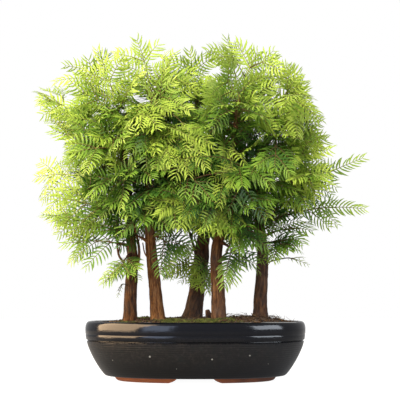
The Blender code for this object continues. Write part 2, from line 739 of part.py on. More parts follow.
class Skin:
    """The triangles of one frond, grown ring by ring."""

    def __init__(self):
        self.points, self.faces = [], []

    def ring(self, middle, along, plane, size):
        """Top, right and left corners of a shoot's three-sided section."""
        across = along.cross(plane)
        first = len(self.points)
        self.points.append(middle + plane * SHOOT_HEIGHT * size * 2 / 3)
        self.points.append(middle + across * SHOOT_HALF_WIDTH * size - plane * SHOOT_HEIGHT * size / 3)
        self.points.append(middle - across * SHOOT_HALF_WIDTH * size - plane * SHOOT_HEIGHT * size / 3)
        return [first, first + 1, first + 2]

    def spike(self, loop, tip):
        self.points.append(tip)
        apex = len(self.points) - 1
        for i, corner in enumerate(loop):
            self.faces.append((corner, loop[(i + 1) % len(loop)], apex))

    def stretch(self, low, high, needles, children, index):
        """The three sides between two rings: upper right, underside and upper left."""
        roots = []
        for edge in range(3):
            a, b = low[edge], low[(edge + 1) % 3]
            c, d = high[(edge + 1) % 3], high[edge]
            side = {0: 1, 2: -1}.get(edge)
            needle = needles.get((index, side))
            child = children.get((index, side))
            if needle is not None:
                self.spike([a, b, c, d], needle)
            elif child is not None:
                keep, root = ((a, c, d), (a, b, c)) if side > 0 else ((a, b, c), (a, c, d))
                self.faces.append(keep)
                roots.append((root, child))
            else:
                self.faces += [(a, b, c), (a, c, d)]
        return roots

    def grow(self, shoot, low, start):
        """Rings from the one given as low along the shoot, then its tip and its side shoots."""
        count = len(shoot.points)
        roots = []
        for index in range(start, count):
            size = 1 - (1 - SHOOT_TIP_SHARE) * index / count
            high = self.ring(shoot.points[index], shoot.along[index], shoot.planes[index], size)
            if low is None:
                self.faces.append((high[0], high[2], high[1]))
            elif index == 0:
                turned = min(range(3), key=lambda k: sum(
                    (self.points[low[(i + k) % 3]] - self.points[high[i]]).length for i in range(3)))
                low = [low[(i + turned) % 3] for i in range(3)]
                self.stretch(low, high, {}, {}, 0)
            else:
                roots += self.stretch(low, high, shoot.needles, shoot.children, index - 1)
            low = high
        self.spike(low, shoot.tip)
        for root, child in roots:
            self.grow(child, list(root), 0)


def build_fronds(plans, room, materials):
    draw = random.Random(SEED)
    axes, shoots = {}, {}
    for name, plan in plans.items():
        axes[name] = plan_axis(name, plan, draw)
    for name, axis in axes.items():
        shoots[name] = plan_side_shoots(name, axis, room)
    for name, axis in axes.items():
        for shoot in shoots[name]:
            plan_needles(name, shoot, room, NEEDLE_SHORTER_ON_SHOOT)
        plan_needles(name, axis, room, NEEDLE_SHORTER_ON_AXIS)
    for name, axis in axes.items():
        skin = Skin()
        skin.grow(axis, None, 0)
        outer = "front" in name or "left" in name or "right" in name
        add_object(name, skin.points, skin.faces, materials[0 if outer else 1])
    return axes


def build():
    clear_scene()
    glaze = principled("dark_blue_glaze", (0.012, 0.018, 0.032), 0.22)
    plastic = principled("mesh_plastic", (0.02, 0.02, 0.02), 0.6)
    earth = principled("moist_soil", (0.052, 0.033, 0.018), 0.95)
    bark = principled("redwood_bark", (0.19, 0.085, 0.045), 0.9)
    bright = principled("young_needles", (0.34, 0.52, 0.05), 0.55)
    deep = principled("older_needles", (0.12, 0.27, 0.03), 0.55)

    build_tray(glaze)
    build_drain_mesh("drain_mesh_left", -1, plastic)
    build_drain_mesh("drain_mesh_right", 1, plastic)

    room = Room()
    plans = plan_branches(room)
    stem_radii = {}
    for name in TREES:
        trunk, stem_radii[name] = build_trunk(name, bark)
        own = [frond for frond in FRONDS if FRONDS[frond][0] == name and not is_leader(frond)]
        combine(trunk, [branch_tube(frond, plans[frond], bark) for frond in own], "UNION")
    build_soil(earth, stem_radii)
    build_fronds(plans, room, (bright, deep))


build()
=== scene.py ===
# %% [markdown]
# A dawn redwood forest planting is five young trees set in one shallow oval tray. The solid parts fix where
# each trunk, branch and leafy tip is. This script dresses them: glaze on the tray, furrows in the bark, moss
# on the soil, and many thousand needles on shoots that grow by the same rule as the solids.

import json
import math
import random

import bpy
import numpy as np
from mathutils import Matrix, Vector, noise

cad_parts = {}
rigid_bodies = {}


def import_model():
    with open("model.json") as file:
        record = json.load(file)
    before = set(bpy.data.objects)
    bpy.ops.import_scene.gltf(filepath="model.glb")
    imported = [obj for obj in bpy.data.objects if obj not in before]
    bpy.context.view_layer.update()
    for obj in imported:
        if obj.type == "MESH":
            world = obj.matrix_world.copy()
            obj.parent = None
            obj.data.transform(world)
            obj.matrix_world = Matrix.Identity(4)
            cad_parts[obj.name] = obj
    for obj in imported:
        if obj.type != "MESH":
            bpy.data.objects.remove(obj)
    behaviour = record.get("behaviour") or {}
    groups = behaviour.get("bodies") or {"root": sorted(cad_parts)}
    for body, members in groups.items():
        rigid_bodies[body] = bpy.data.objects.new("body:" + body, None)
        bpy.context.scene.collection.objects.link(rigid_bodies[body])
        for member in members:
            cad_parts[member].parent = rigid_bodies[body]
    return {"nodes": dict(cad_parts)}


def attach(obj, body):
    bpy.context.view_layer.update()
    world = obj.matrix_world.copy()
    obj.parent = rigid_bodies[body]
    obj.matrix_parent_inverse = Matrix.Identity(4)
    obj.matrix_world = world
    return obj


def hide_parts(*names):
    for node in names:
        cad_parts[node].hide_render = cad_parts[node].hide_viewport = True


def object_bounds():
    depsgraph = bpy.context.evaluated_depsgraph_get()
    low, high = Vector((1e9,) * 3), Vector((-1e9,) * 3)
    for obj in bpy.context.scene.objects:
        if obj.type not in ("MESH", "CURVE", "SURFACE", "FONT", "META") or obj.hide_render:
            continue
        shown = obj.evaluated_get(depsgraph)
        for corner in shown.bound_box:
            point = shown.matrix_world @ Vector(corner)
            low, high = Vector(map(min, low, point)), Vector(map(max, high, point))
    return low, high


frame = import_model()
cad_low, cad_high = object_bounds()
MM = 0.001
UP = Vector((0.0, 0.0, 1.0))
print("the solids reach from", tuple(cad_low), "to", tuple(cad_high))

# %% [markdown]
# The photograph was taken from the front, a little above the rim, with the camera tilted slightly up. A long
# lens flattens the oval tray. The focal length below is in widths of a pixel, which is how it comes out of
# measuring a photograph, and it is turned into millimetres for Blender's 36 mm wide sensor.

# %% Camera
PHOTO_WIDTH = 400
FOCAL_PIXELS = 976
SENSOR_WIDTH = 36
CAMERA_PLACE = Vector((5.8, -1259.0, 99.5)) * MM
CAMERA_TILT = math.radians(5.9)

camera = bpy.data.objects.new("camera", bpy.data.cameras.new("camera"))
bpy.context.scene.collection.objects.link(camera)
camera.data.sensor_width = SENSOR_WIDTH
camera.data.lens = FOCAL_PIXELS / PHOTO_WIDTH * SENSOR_WIDTH
camera.data.clip_start = 0.05
camera.location = CAMERA_PLACE
camera.rotation_euler = (math.radians(90) + CAMERA_TILT, 0, 0)
bpy.context.scene.camera = camera
print("lens", round(camera.data.lens, 1), "mm")

# %% [markdown]
# A planting like this is lit softly, so that light reaches into the leaves. The key panel stands high on the
# left, a weak cool one low at the front and one behind. Gloss needs something to mirror, so cards stand round
# the tray. Each makes one pale patch on the rim, and its bearing was worked out from where that patch lies:
# twice the bearing that the rim faces there. They light nothing, so they can be set for the glaze alone.

# %% Light
STUDIO_MIDDLE = Vector((0.0, 0.0, 0.2))


def softbox(name, bearing, rise, away, width, height, power, colour):
    """A rectangular lamp. The bearing is in degrees from the front, with the left negative."""
    lamp = bpy.data.lights.new(name, "AREA")
    lamp.shape = "RECTANGLE"
    lamp.size, lamp.size_y = width, height
    lamp.energy, lamp.color = power, colour
    thing = bpy.data.objects.new(name, lamp)
    bpy.context.scene.collection.objects.link(thing)
    turn, lift = math.radians(bearing), math.radians(rise)
    way = Vector((math.sin(turn) * math.cos(lift), -math.cos(turn) * math.cos(lift), math.sin(lift)))
    thing.location = STUDIO_MIDDLE + way * away
    thing.rotation_euler = way.to_track_quat("Z", "Y").to_euler()
    return thing


def mirrored(lamp):
    """A panel that shows in the glaze but lights nothing."""
    lamp.visible_diffuse = False
    return lamp


def unmirrored(lamp):
    """A panel that lights things but doesn't show in the glaze."""
    lamp.visible_glossy = False
    return lamp


unmirrored(softbox("key_panel", -42, 42, 1.5, 0.8, 0.8, 32, (1.0, 0.95, 0.86)))
unmirrored(softbox("fill_panel", 10, 12, 1.5, 0.7, 0.7, 4, (0.93, 0.96, 1.0)))
softbox("back_panel", 165, 40, 1.6, 1.2, 1.0, 7, (1.0, 1.0, 0.94))
mirrored(softbox("warm_card", -71, 25, 1.5, 1.8, 1.8, 170, (1.0, 0.70, 0.42)))
mirrored(softbox("blue_card", -25, 14, 1.5, 0.6, 1.1, 12, (0.62, 0.74, 1.0)))
mirrored(softbox("pale_card", 60, 14, 1.5, 0.95, 0.8, 29, (0.84, 0.91, 1.0)))
bpy.context.scene.view_settings.view_transform = "Standard"

# %% [markdown]
# Shaders and Geometry Nodes are both graphs of small steps. Written out as node calls, a formula is hard to
# read. So one class wraps an output socket and overloads the arithmetic operators, and each operator adds a
# Math node: 1 - mask then works as it reads.

# %% Formulas as nodes


class Wire:
    """An output of a node. Arithmetic on it adds Math nodes."""

    def __init__(self, graph, socket):
        self.graph, self.socket = graph, socket

    def out(self, name):
        """Another output of the same node."""
        found = [s for s in self.socket.node.outputs if s.enabled and s.name == name]
        return Wire(self.graph, found[0])

    def __add__(self, other):
        return self.graph.math("ADD", self, other)

    def __sub__(self, other):
        return self.graph.math("SUBTRACT", self, other)

    def __mul__(self, other):
        return self.graph.math("MULTIPLY", self, other)

    def __radd__(self, other):
        return self.graph.math("ADD", other, self)

    def __rsub__(self, other):
        return self.graph.math("SUBTRACT", other, self)

    def __rmul__(self, other):
        return self.graph.math("MULTIPLY", other, self)

    def __neg__(self):
        return self.graph.math("MULTIPLY", self, -1.0)

    def floor(self):
        return self.graph.math("FLOOR", self)

    def sine(self):
        return self.graph.math("SINE", self)

    def clamped(self):
        return self.graph.node("ShaderNodeClamp", {}, {"Value": self})

    def ramp(self, low, high):
        """0 below low, 1 above high and a smooth step between."""
        values = {"Value": self, "From Min": low, "From Max": high}
        return self.graph.node("ShaderNodeMapRange", {"interpolation_type": "SMOOTHSTEP"}, values)


print("reflected forms:", [name for name in vars(Wire) if name.startswith("__r")])

# %% [markdown]
# Any other node comes from one method, which takes the node's type, its settings and the values or links of
# its sockets. The settings are made first, because they decide which sockets a node has. Short methods for
# the nodes that come up again and again, such as noise and bump, keep the finishes below easy to read.

# %% Any other node


class Graph:
    """A node tree, filled by calls that each return a Wire. Stops are the colours of a Color Ramp."""

    def __init__(self, tree):
        self.tree = tree

    def node(self, kind, settings=None, values=None):
        made = self.tree.nodes.new(kind)
        for name, value in (settings or {}).items():
            if name == "stops":
                self.set_stops(made.color_ramp, value)
            else:
                setattr(made, name, value)
        for key, value in (values or {}).items():
            for item in value if isinstance(value, list) else [value]:
                self.feed(self.socket(made, key), item)
        outputs = [s for s in made.outputs if s.enabled]
        return Wire(self, outputs[0]) if outputs else made

    def socket(self, made, key):
        if isinstance(key, int):
            return made.inputs[key]
        return [s for s in made.inputs if s.enabled and s.name == key][0]

    def feed(self, socket, value):
        if isinstance(value, Wire):
            self.tree.links.new(value.socket, socket)
        elif socket.type == "RGBA" and len(value) == 3:
            socket.default_value = (*value, 1.0)
        else:
            socket.default_value = value

    def set_stops(self, ramp, stops):
        while len(ramp.elements) < len(stops):
            ramp.elements.new(1.0)
        for element, (place, colour) in zip(ramp.elements, stops):
            element.position, element.color = place, (*colour, 1.0)

    def math(self, operation, *operands):
        return self.node("ShaderNodeMath", {"operation": operation}, dict(enumerate(operands)))

    def mix(self, share, first, second):
        """A colour between two colours."""
        return self.node("ShaderNodeMix", {"data_type": "RGBA"}, {"Factor": share, "A": first, "B": second})

    def mix_shaders(self, share, first, second):
        return self.node("ShaderNodeMixShader", {}, {"Fac": share, 1: first, 2: second})

    def colours(self, share, *stops):
        """A colour that runs through stops, each a place from 0 to 1 and a colour."""
        return self.node("ShaderNodeValToRGB", {"stops": stops}, {"Fac": share})

    def axis(self, vector, name):
        return self.node("ShaderNodeSeparateXYZ", {}, {"Vector": vector}).out(name)

    def attribute(self, name, output="Fac"):
        return self.node("ShaderNodeAttribute", {"attribute_name": name}).out(output)

    def place(self):
        return self.node("ShaderNodeTexCoord").out("Object")

    def stretched(self, vector, scale):
        return self.node("ShaderNodeMapping", {}, {"Vector": vector, "Scale": scale})

    def noise(self, vector, scale, detail=3.0, roughness=0.5):
        values = {"Vector": vector, "Scale": scale, "Detail": detail, "Roughness": roughness}
        return self.node("ShaderNodeTexNoise", {}, values)

    def bump(self, height, distance, strength=1.0):
        values = {"Height": height, "Distance": distance, "Strength": strength}
        return self.node("ShaderNodeBump", {}, values)


trial = Graph(bpy.data.node_groups.new("trial", "ShaderNodeTree"))
(1 - trial.noise(trial.place(), 40.0)).ramp(0.4, 0.6)
print("a place, a noise, a difference and a ramp are", len(trial.tree.nodes), "nodes")
bpy.data.node_groups.remove(trial.tree)

# %% [markdown]
# Every finish below is one function that is given an empty graph and returns its shader. Clay, bark, leaves
# and soil are all dull or glossy skins over a coloured body, which is what the Principled shader is for.

# %% Materials


def new_material(name, build):
    """A material whose surface comes from build(graph)."""
    material = bpy.data.materials.new(name)
    material.use_nodes = True
    material.node_tree.nodes.clear()
    graph = Graph(material.node_tree)
    output = material.node_tree.nodes.new("ShaderNodeOutputMaterial")
    graph.feed(output.inputs["Surface"], build(graph))
    print(name, "has", len(graph.tree.nodes), "nodes")
    return material


def principled(graph, colour, roughness, more=None):
    """A Principled shader with a colour, a roughness and whatever else the finish needs."""
    values = {"Base Color": colour, "Roughness": roughness, **(more or {})}
    return graph.node("ShaderNodeBsdfPrincipled", {}, values)


# %% [markdown]
# Geometry Nodes suit anything that repeats. A tree starts from a mesh and named inputs, such as a spacing or
# a seed. It ends in Realize Instances and Set Material, because the piece has to be one plain mesh.

# %% Beginning and ending a node tree


def new_tree(name, inputs):
    """A Geometry Nodes tree with a geometry input, the named inputs and a geometry output."""
    tree = bpy.data.node_groups.new(name, "GeometryNodeTree")
    tree.interface.new_socket(name="Geometry", in_out="INPUT", socket_type="NodeSocketGeometry")
    for label, kind in inputs.items():
        tree.interface.new_socket(name=label, in_out="INPUT", socket_type="NodeSocket" + kind)
    tree.interface.new_socket(name="Geometry", in_out="OUTPUT", socket_type="NodeSocketGeometry")
    print(name, "takes", ", ".join(inputs))
    graph = Graph(tree)
    return tree, graph, graph.node("NodeGroupInput")


def end_tree(graph, geometry, material):
    """Turns instances into a mesh, gives it its material and hands it out."""
    real = graph.node("GeometryNodeRealizeInstances", {}, {"Geometry": geometry})
    worn = graph.node("GeometryNodeSetMaterial", {}, {"Geometry": real, "Material": material})
    graph.node("NodeGroupOutput", {}, {"Geometry": worn})


# %% [markdown]
# Needles, moss and crumbs are all many small things set on points, each turned and sized a little
# differently. The nodes for that are the same, so both trees below share them. Collection Info brings in
# the kinds of thing, and Instance on Points picks one for each point.

# %% Small things on points
STREWN = {"Things": "Collection", "Smallest": "Float", "Largest": "Float", "Seed": "Int",
          "Material": "Material"}


def set_things(graph, given, points, facing, angles, more):
    """Sets one of the given things on each point, turned by up to the angles and varied in size."""
    most = graph.node("ShaderNodeCombineXYZ", {}, dict(zip("XYZ", angles)))
    least = graph.node("ShaderNodeCombineXYZ", {}, dict(zip("XYZ", [-angle for angle in angles])))
    turned = graph.node("FunctionNodeRandomValue", {"data_type": "FLOAT_VECTOR"},
                        {"Min": least, "Max": most, "Seed": given.out("Seed")})
    turned = graph.node("FunctionNodeEulerToRotation", {}, {"Euler": turned})
    rotation = graph.node("FunctionNodeRotateRotation", {"rotation_space": "LOCAL"},
                          {"Rotation": facing, "Rotate By": turned})
    sizes = {"Min": given.out("Smallest"), "Max": given.out("Largest"), "Seed": given.out("Seed") + 1}
    size = graph.node("FunctionNodeRandomValue", {}, sizes) * more.pop("Size", 1.0)
    kinds = graph.node("GeometryNodeCollectionInfo", {},
                       {"Collection": given.out("Things"), "Separate Children": True, "Reset Children": True})
    values = {"Points": points, "Instance": kinds, "Pick Instance": True, "Rotation": rotation, "Scale": size}
    return graph.node("GeometryNodeInstanceOnPoints", {}, {**values, **more})


print("both trees share", len(STREWN), "inputs")

# %% [markdown]
# A tree runs as a modifier, and its inputs are set by the identifiers of their sockets. Its result is kept
# as a plain mesh, so that nothing in the finished piece depends on a live modifier. The same baking serves
# the tray, whose drain holes are cut by Boolean modifiers.

# %% From a modifier to a plain mesh


def add_piece(name, mesh):
    thing = bpy.data.objects.new(name, mesh)
    bpy.context.scene.collection.objects.link(thing)
    return thing


def bake_modifiers(thing):
    """Turns what the modifiers show into the piece's own plain mesh, and removes them."""
    state = bpy.context.evaluated_depsgraph_get()
    shown = thing.evaluated_get(state)
    made = bpy.data.meshes.new_from_object(shown, preserve_all_data_layers=True, depsgraph=state)
    thing.modifiers.clear()
    thing.data = made
    made.name = thing.name


def grown(name, mesh, tree, values):
    """The plain mesh that a tree makes of a mesh, as a new object."""
    thing = add_piece(name, mesh)
    modifier = thing.modifiers.new("grow", "NODES")
    modifier.node_group = tree
    inputs = [item for item in tree.interface.items_tree if item.in_out == "INPUT"]
    identifiers = {item.name: item.identifier for item in inputs}
    for label, value in values.items():
        modifier[identifiers[label]] = value
    bake_modifiers(thing)
    return thing


def triangles(thing):
    return sum(len(face.vertices) - 2 for face in thing.data.polygons)


def enter(piece, slot, *nodes):
    """Rides a finished piece on the root body and hides the solids that it stands in for. The slot is not
    used.
    """
    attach(piece, "root")
    if nodes:
        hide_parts(*nodes)
    print(piece.name, "has", triangles(piece), "triangles")


# %% [markdown]
# Every skin here is rings of points joined into quads: the tray's oval levels, the soil's contours, the
# trunks. One function does the joining, and closes both ends with a fan round their middle, so that each
# piece is a closed body. A second one draws the smooth curve that profiles and trunks follow.

# %% Skins made of rings


def skin(rings):
    """Points and faces over rings that are anticlockwise seen from the last ring's end."""
    count = len(rings[0])
    points = [p for ring in rings for p in ring]
    faces = []
    for level in range(len(rings) - 1):
        low, high = level * count, (level + 1) * count
        for i in range(count):
            j = (i + 1) % count
            faces.append((low + i, low + j, high + j, high + i))
    last = (len(rings) - 1) * count
    points.append(sum(rings[0], Vector()) / count)
    faces += [(len(points) - 1, (i + 1) % count, i) for i in range(count)]
    points.append(sum(rings[-1], Vector()) / count)
    faces += [(len(points) - 1, last + i, last + (i + 1) % count) for i in range(count)]
    return points, faces


def new_mesh(name, points, faces, smooth=True):
    mesh = bpy.data.meshes.new(name)
    mesh.from_pydata([tuple(p) for p in points], [], faces)
    mesh.update()
    if smooth:
        mesh.shade_smooth()
    return mesh


def set_attribute(mesh, name, values, kind="FLOAT"):
    """Gives each point of a mesh a number, or a vector where the kind is FLOAT_VECTOR."""
    vectors = kind == "FLOAT_VECTOR"
    numbers = [n for vector in values for n in vector] if vectors else values
    mesh.attributes.new(name, kind, "POINT").data.foreach_set("vector" if vectors else "value", numbers)


def smooth_point(path, place):
    """A point on the smooth curve through path, place running from 0 to its last index."""
    index = min(int(place), len(path) - 2)
    t = place - index
    p1, p2 = path[index], path[index + 1]
    p0 = path[index - 1] if index else p1 * 2 - p2
    p3 = path[index + 2] if index + 2 < len(path) else p2 * 2 - p1
    return 0.5 * (2 * p1 + (p2 - p0) * t + (2 * p0 - 5 * p1 + 4 * p2 - p3) * t ** 2
                  + (3 * p1 - p0 - 3 * p2 + p3) * t ** 3)


base = [Vector((0, 0, 0)), Vector((1, 0, 0)), Vector((0, 1, 0))]
print("a three-sided prism takes", len(skin([base, [corner + UP for corner in base]])[1]), "faces")

# %% [markdown]
# The tray is fired clay pressed in an oval mould and dipped in dark glaze. Its outline is a superellipse, a
# little squarer than an ellipse, so a formula gives every level from one profile. The profile is drawn as
# pairs of inset and height, smooth up the belly, then a groove, the rim band and a rounded lip.

# %% Tray
TRAY_LENGTH, TRAY_DEPTH, TRAY_HEIGHT = 280 * MM, 205 * MM, 74 * MM
TRAY_SQUARENESS = 2.25
TRAY_AROUND = 144
FLOOR_UNDERSIDE, FLOOR_TOP = 6 * MM, 15 * MM
BELLY = ((29, 6), (24.5, 7.6), (17.2, 17), (10, 29), (4.4, 41), (2, 48.6))
BELLY_STEPS = 5
GROOVE = ((2.5, 49.2), (3.2, 49.8), (3.3, 50.4), (2.2, 51.0), (1.3, 51.6))
BAND = ((0.8, 54), (0.45, 57.2), (0.75, 57.9), (0.25, 58.8), (0.05, 62), (0, 65.5))
LIP = ((0.3, 68.4), (1.1, 70.9), (2.4, 72.9), (4.2, 73.9), (5.8, 73.9), (7.1, 73.2), (7.8, 72.0))
WALL, WALL_LEAN, WALL_CURVE, WALL_TOP = 8 * MM, 17 * MM, 1.7, TRAY_HEIGHT - 2 * MM
INSIDE_STEPS = 10


def oval(inset, height, count):
    """Points round the tray's outline, moved in by an inset."""
    power = 2 / TRAY_SQUARENESS
    half_x, half_y = TRAY_LENGTH / 2 - inset, TRAY_DEPTH / 2 - inset
    points = []
    for step in range(count):
        angle = 2 * math.pi * step / count
        c, s = math.cos(angle), math.sin(angle)
        x, y = math.copysign(abs(c) ** power, c), math.copysign(abs(s) ** power, s)
        points.append(Vector((x * half_x, y * half_y, height)))
    return points


def wall_inset(height):
    """How far the inner wall lies inside the rim's outline."""
    depth = WALL_TOP - FLOOR_TOP
    return WALL + WALL_LEAN * max(0.0, 1 - (height - FLOOR_TOP) / depth) ** WALL_CURVE


def tray_profile():
    """Pairs of inset and height, up the outside, over the lip and down the inside."""
    belly = [Vector((inset, height, 0)) for inset, height in BELLY]
    steps = (len(BELLY) - 1) * BELLY_STEPS
    outer = [smooth_point(belly, i / BELLY_STEPS)[:2] for i in range(steps + 1)]
    outer = [(inset * MM, height * MM) for inset, height in (*outer, *GROOVE, *BAND, *LIP)]
    top = outer[-1][1]
    for step in range(1, INSIDE_STEPS + 1):
        height = top + (FLOOR_TOP - top) * step / INSIDE_STEPS
        outer.append((wall_inset(height), height))
    return outer


print("the tray's profile has", len(tray_profile()), "levels")

# %% [markdown]
# Water has to leave the tray, so its floor has two holes. They are cut out by Boolean modifiers, which is
# simpler than leading the faces of the oval round two circles. The cut leaves hard new edges, so the shading
# is set again afterwards: smooth, with a sharp edge wherever two faces meet at more than 50 degrees.

# %% Drain holes
DRAIN_RADIUS, DRAIN_FROM_MIDDLE, DRAIN_SIDES, DRAIN_BEYOND = 8 * MM, 62 * MM, 32, 3 * MM
SHARP_FROM = math.radians(50)


def cylinder(name, middle, radius, low, high, sides):
    turns = [2 * math.pi * i / sides for i in range(sides)]
    rings = [[Vector((middle.x + radius * math.cos(t), middle.y + radius * math.sin(t), z)) for t in turns]
             for z in (low, high)]
    return add_piece(name, new_mesh(name, *skin(rings), smooth=False))


def cut(thing, cutters):
    """Cuts each cutter out of a piece and removes it."""
    for cutter in cutters:
        boolean = thing.modifiers.new("cut", "BOOLEAN")
        boolean.operation, boolean.solver, boolean.object = "DIFFERENCE", "EXACT", cutter
    bake_modifiers(thing)
    for cutter in cutters:
        bpy.data.objects.remove(cutter, do_unlink=True)


def make_tray(material):
    rings = [oval(inset, height, TRAY_AROUND) for inset, height in tray_profile()]
    tray = add_piece("glazed_tray", new_mesh("glazed_tray", *skin(rings)))
    holes = []
    for side in (-1, 1):
        middle = Vector((side * DRAIN_FROM_MIDDLE, 0, 0))
        low, high = FLOOR_UNDERSIDE - DRAIN_BEYOND, FLOOR_TOP + DRAIN_BEYOND
        holes.append(cylinder(f"hole{side}", middle, DRAIN_RADIUS, low, high, DRAIN_SIDES))
    cut(tray, holes)
    tray.data.shade_smooth()
    tray.data.set_sharp_from_angle(angle=SHARP_FROM)
    tray.data.materials.clear()
    tray.data.materials.append(material)
    return tray


print("two drain holes,", round(2 * DRAIN_RADIUS / MM), "mm wide")

# %% [markdown]
# The glaze is almost black with a blue cast where it lies thick on the rim, and browner and duller down the
# belly, where it ran thin. Near the foot the belly is painted darker, a painted shade, and towards the right
# it is painted bluer, a painted reflection. So the colour is worked out from the height above the table,
# broken up by noise.
# A few pits show the pale clay. They are given as their place across, their height and their radius, in
# millimetres.

# %% Colours and pits of the glaze
RIM_BLUE, BELLY_BROWN, PALE_SPECK = (0.0015, 0.0024, 0.006), (0.013, 0.0115, 0.010), (0.35, 0.34, 0.30)
# The darkest belly colour is painted shade near the foot, and the blue belly colour is a painted reflection.
BELLY_WORN, BELLY_GREEN, BELLY_PAINTED_SHADE = (0.034, 0.028, 0.025), (0.009, 0.015, 0.012), (0.005, 0.0045, 0.004)
BELLY_PAINTED_REFLECTION, STREAK_GREY = (0.010, 0.012, 0.020), (0.014, 0.013, 0.014)
PITS = ((-53.8, 33.6, 1.5), (20.1, 30.7, 1.2), (65.0, 34.8, 1.2), (-22, 19, 0.7), (88, 24, 0.7),
        (-100, 28, 0.7))


def belly_colour(graph, place, clouds, mottle):
    """Brown and worn, greenish where it ran, with painted shade near the foot and a painted blue reflection
    to the right.
    """
    runs = graph.noise(graph.stretched(place, (1.0, 1.0, 0.22)), 210.0, 4.0, 0.6)
    belly = graph.mix(mottle.ramp(0.44, 0.72), BELLY_BROWN, BELLY_WORN)
    belly = graph.mix(runs.ramp(0.5, 0.75) * 0.6, belly, BELLY_GREEN)
    height = graph.axis(place, "Z") + (clouds - 0.5) * 0.01
    # Painted shade: the belly is darker towards the foot.
    belly = graph.mix(height.ramp(0.012, 0.034), BELLY_PAINTED_SHADE, belly)
    # Painted reflection: the belly is bluer towards the right.
    blue_reflection_share = (graph.axis(place, "X") * 5.0 + clouds - 0.35).clamped()
    return graph.mix(blue_reflection_share * 0.6, belly, BELLY_PAINTED_REFLECTION)


def pitted(graph, place, mottle):
    """1 inside the pits, whose edges are uneven. The depth is left out, so each is at the back too."""
    flat = graph.stretched(place, (1.0, 0.0, 1.0))
    speck = 0.0
    for x, z, radius in PITS:
        spot = (x * MM, 0.0, z * MM)
        away = graph.node("ShaderNodeVectorMath", {"operation": "DISTANCE"}, {0: flat, 1: spot})
        speck = (1 - (away + (mottle - 0.5) * 0.0012).ramp(0.45 * radius * MM, radius * MM)) + speck
    return speck


print(len(PITS), "pits, the largest", 2 * max(radius for _x, _z, radius in PITS), "mm wide")

# %% [markdown]
# Low roughness gives the gloss, and the thin glaze on the belly is duller. The relief is low waves, with
# faint rings round the belly from the making and a dip at each pit. All of it is one Principled shader.

# %% Glaze
GLAZE_RIM_ROUGHNESS, GLAZE_BELLY_ROUGHNESS, GLAZE_GLOSS = 0.13, 0.34, 0.25
RING_SPACING = 2.6 * MM


def glaze(graph):
    place = graph.place()
    height = graph.axis(place, "Z")
    clouds = graph.noise(place, 45.0, 4.0)
    rim = (height + (clouds - 0.5) * 0.012).ramp(0.043, 0.058)
    mottle = graph.noise(place, 240.0, 5.0, 0.7)
    colour = graph.mix(rim, belly_colour(graph, place, clouds, mottle), RIM_BLUE)
    streaks = graph.noise(graph.stretched(place, (90.0, 90.0, 900.0)), 1.0, 2.0)
    colour = graph.mix((streaks * 0.30).clamped(), colour, STREAK_GREY)
    rings = (height * (2 * math.pi / RING_SPACING) + clouds * 5.0).sine() * 0.5 + 0.5
    speck = pitted(graph, place, mottle)
    colour = graph.mix(speck, colour, PALE_SPECK)
    fine = graph.noise(place, 600.0, 2.0)
    dull = GLAZE_BELLY_ROUGHNESS + (GLAZE_RIM_ROUGHNESS - GLAZE_BELLY_ROUGHNESS) * rim
    rough = dull + (fine - 0.5) * 0.12 + speck * 0.3
    upper_belly = height.ramp(0.026, 0.040) * (1 - rim)
    wander = graph.noise(graph.stretched(place, (1.0, 1.0, 0.5)), 55.0, 3.0)
    waves = clouds * 0.6 + streaks * 0.3 + wander * 1.3
    relief = waves + rings * (1 - rim) * 0.2 + rings * upper_belly * 0.9
    relief = relief + mottle * (1 - rim) * 0.4 - speck * 0.5
    more = {"Specular IOR Level": GLAZE_GLOSS, "Normal": graph.bump(relief, 0.0006, 0.35)}
    return principled(graph, colour, rough, more)


tray = make_tray(new_material("dark_glaze", glaze))
enter(tray, "glaze", "tray")

# %% [markdown]
# The tray stands on two low feet, halves of a ring that is open at the front and back. They are wiped clean
# of glaze before firing, so the bare orange clay shows. The right foot is painted darker: painted shade, and
# some glaze left on it. They are made as swept sections that follow the same oval, a piece of their own
# because the clay is a finish of its own.

# %% Feet
FOOT_AROUND = 40
FOOT_SECTION = ((35, 8), (36.6, 5.6), (37.9, 3.6), (39.0, 2.0), (39.9, 1.0), (41, 0.3), (42.2, 0), (53.8, 0),
                (55, 0.4), (54.7, 1.6), (54.3, 3.2), (53.7, 5.4), (53, 8))
FOOT_TOP, FOOT_GAP, FOOT_CURL, FOOT_CURL_POWER = 8, 21.5, 11, 2.3


def foot_rings(side):
    """Sections along one foot, whose ends curl up from the table towards the tray."""
    power = 2 / TRAY_SQUARENESS
    rings = []
    for step in range(FOOT_AROUND + 1):
        ring = []
        for inset, height in FOOT_SECTION:
            gap = FOOT_GAP + FOOT_CURL * (1 - height / FOOT_TOP) ** FOOT_CURL_POWER
            half_x, half_y = TRAY_LENGTH / 2 - inset * MM, TRAY_DEPTH / 2 - inset * MM
            end = math.acos((gap * MM / half_x) ** (1 / power))
            angle = -end + 2 * end * step / FOOT_AROUND
            c, s = math.cos(angle), math.sin(angle)
            x, y = side * c ** power * half_x, side * math.copysign(abs(s) ** power, s) * half_y
            ring.append(Vector((x, y, height * MM)))
        rings.append(ring)
    return rings


def raw_clay(graph):
    place = graph.place()
    clouds, grain = graph.noise(place, 60.0, 4.0), graph.noise(place, 900.0, 2.0)
    # Painted shade, with some glaze left on it: the right foot is darker.
    right_shade_and_glaze = (graph.axis(place, "X") * 14.0 + (clouds - 0.5) * 1.4).clamped()
    colour = graph.mix(clouds, (0.58, 0.17, 0.050), (0.36, 0.085, 0.030))
    colour = graph.mix(right_shade_and_glaze * 0.8, colour, (0.075, 0.032, 0.022))
    return principled(graph, colour, 0.75 + (grain - 0.5) * 0.3, {"Normal": graph.bump(grain, 0.0003, 0.6)})


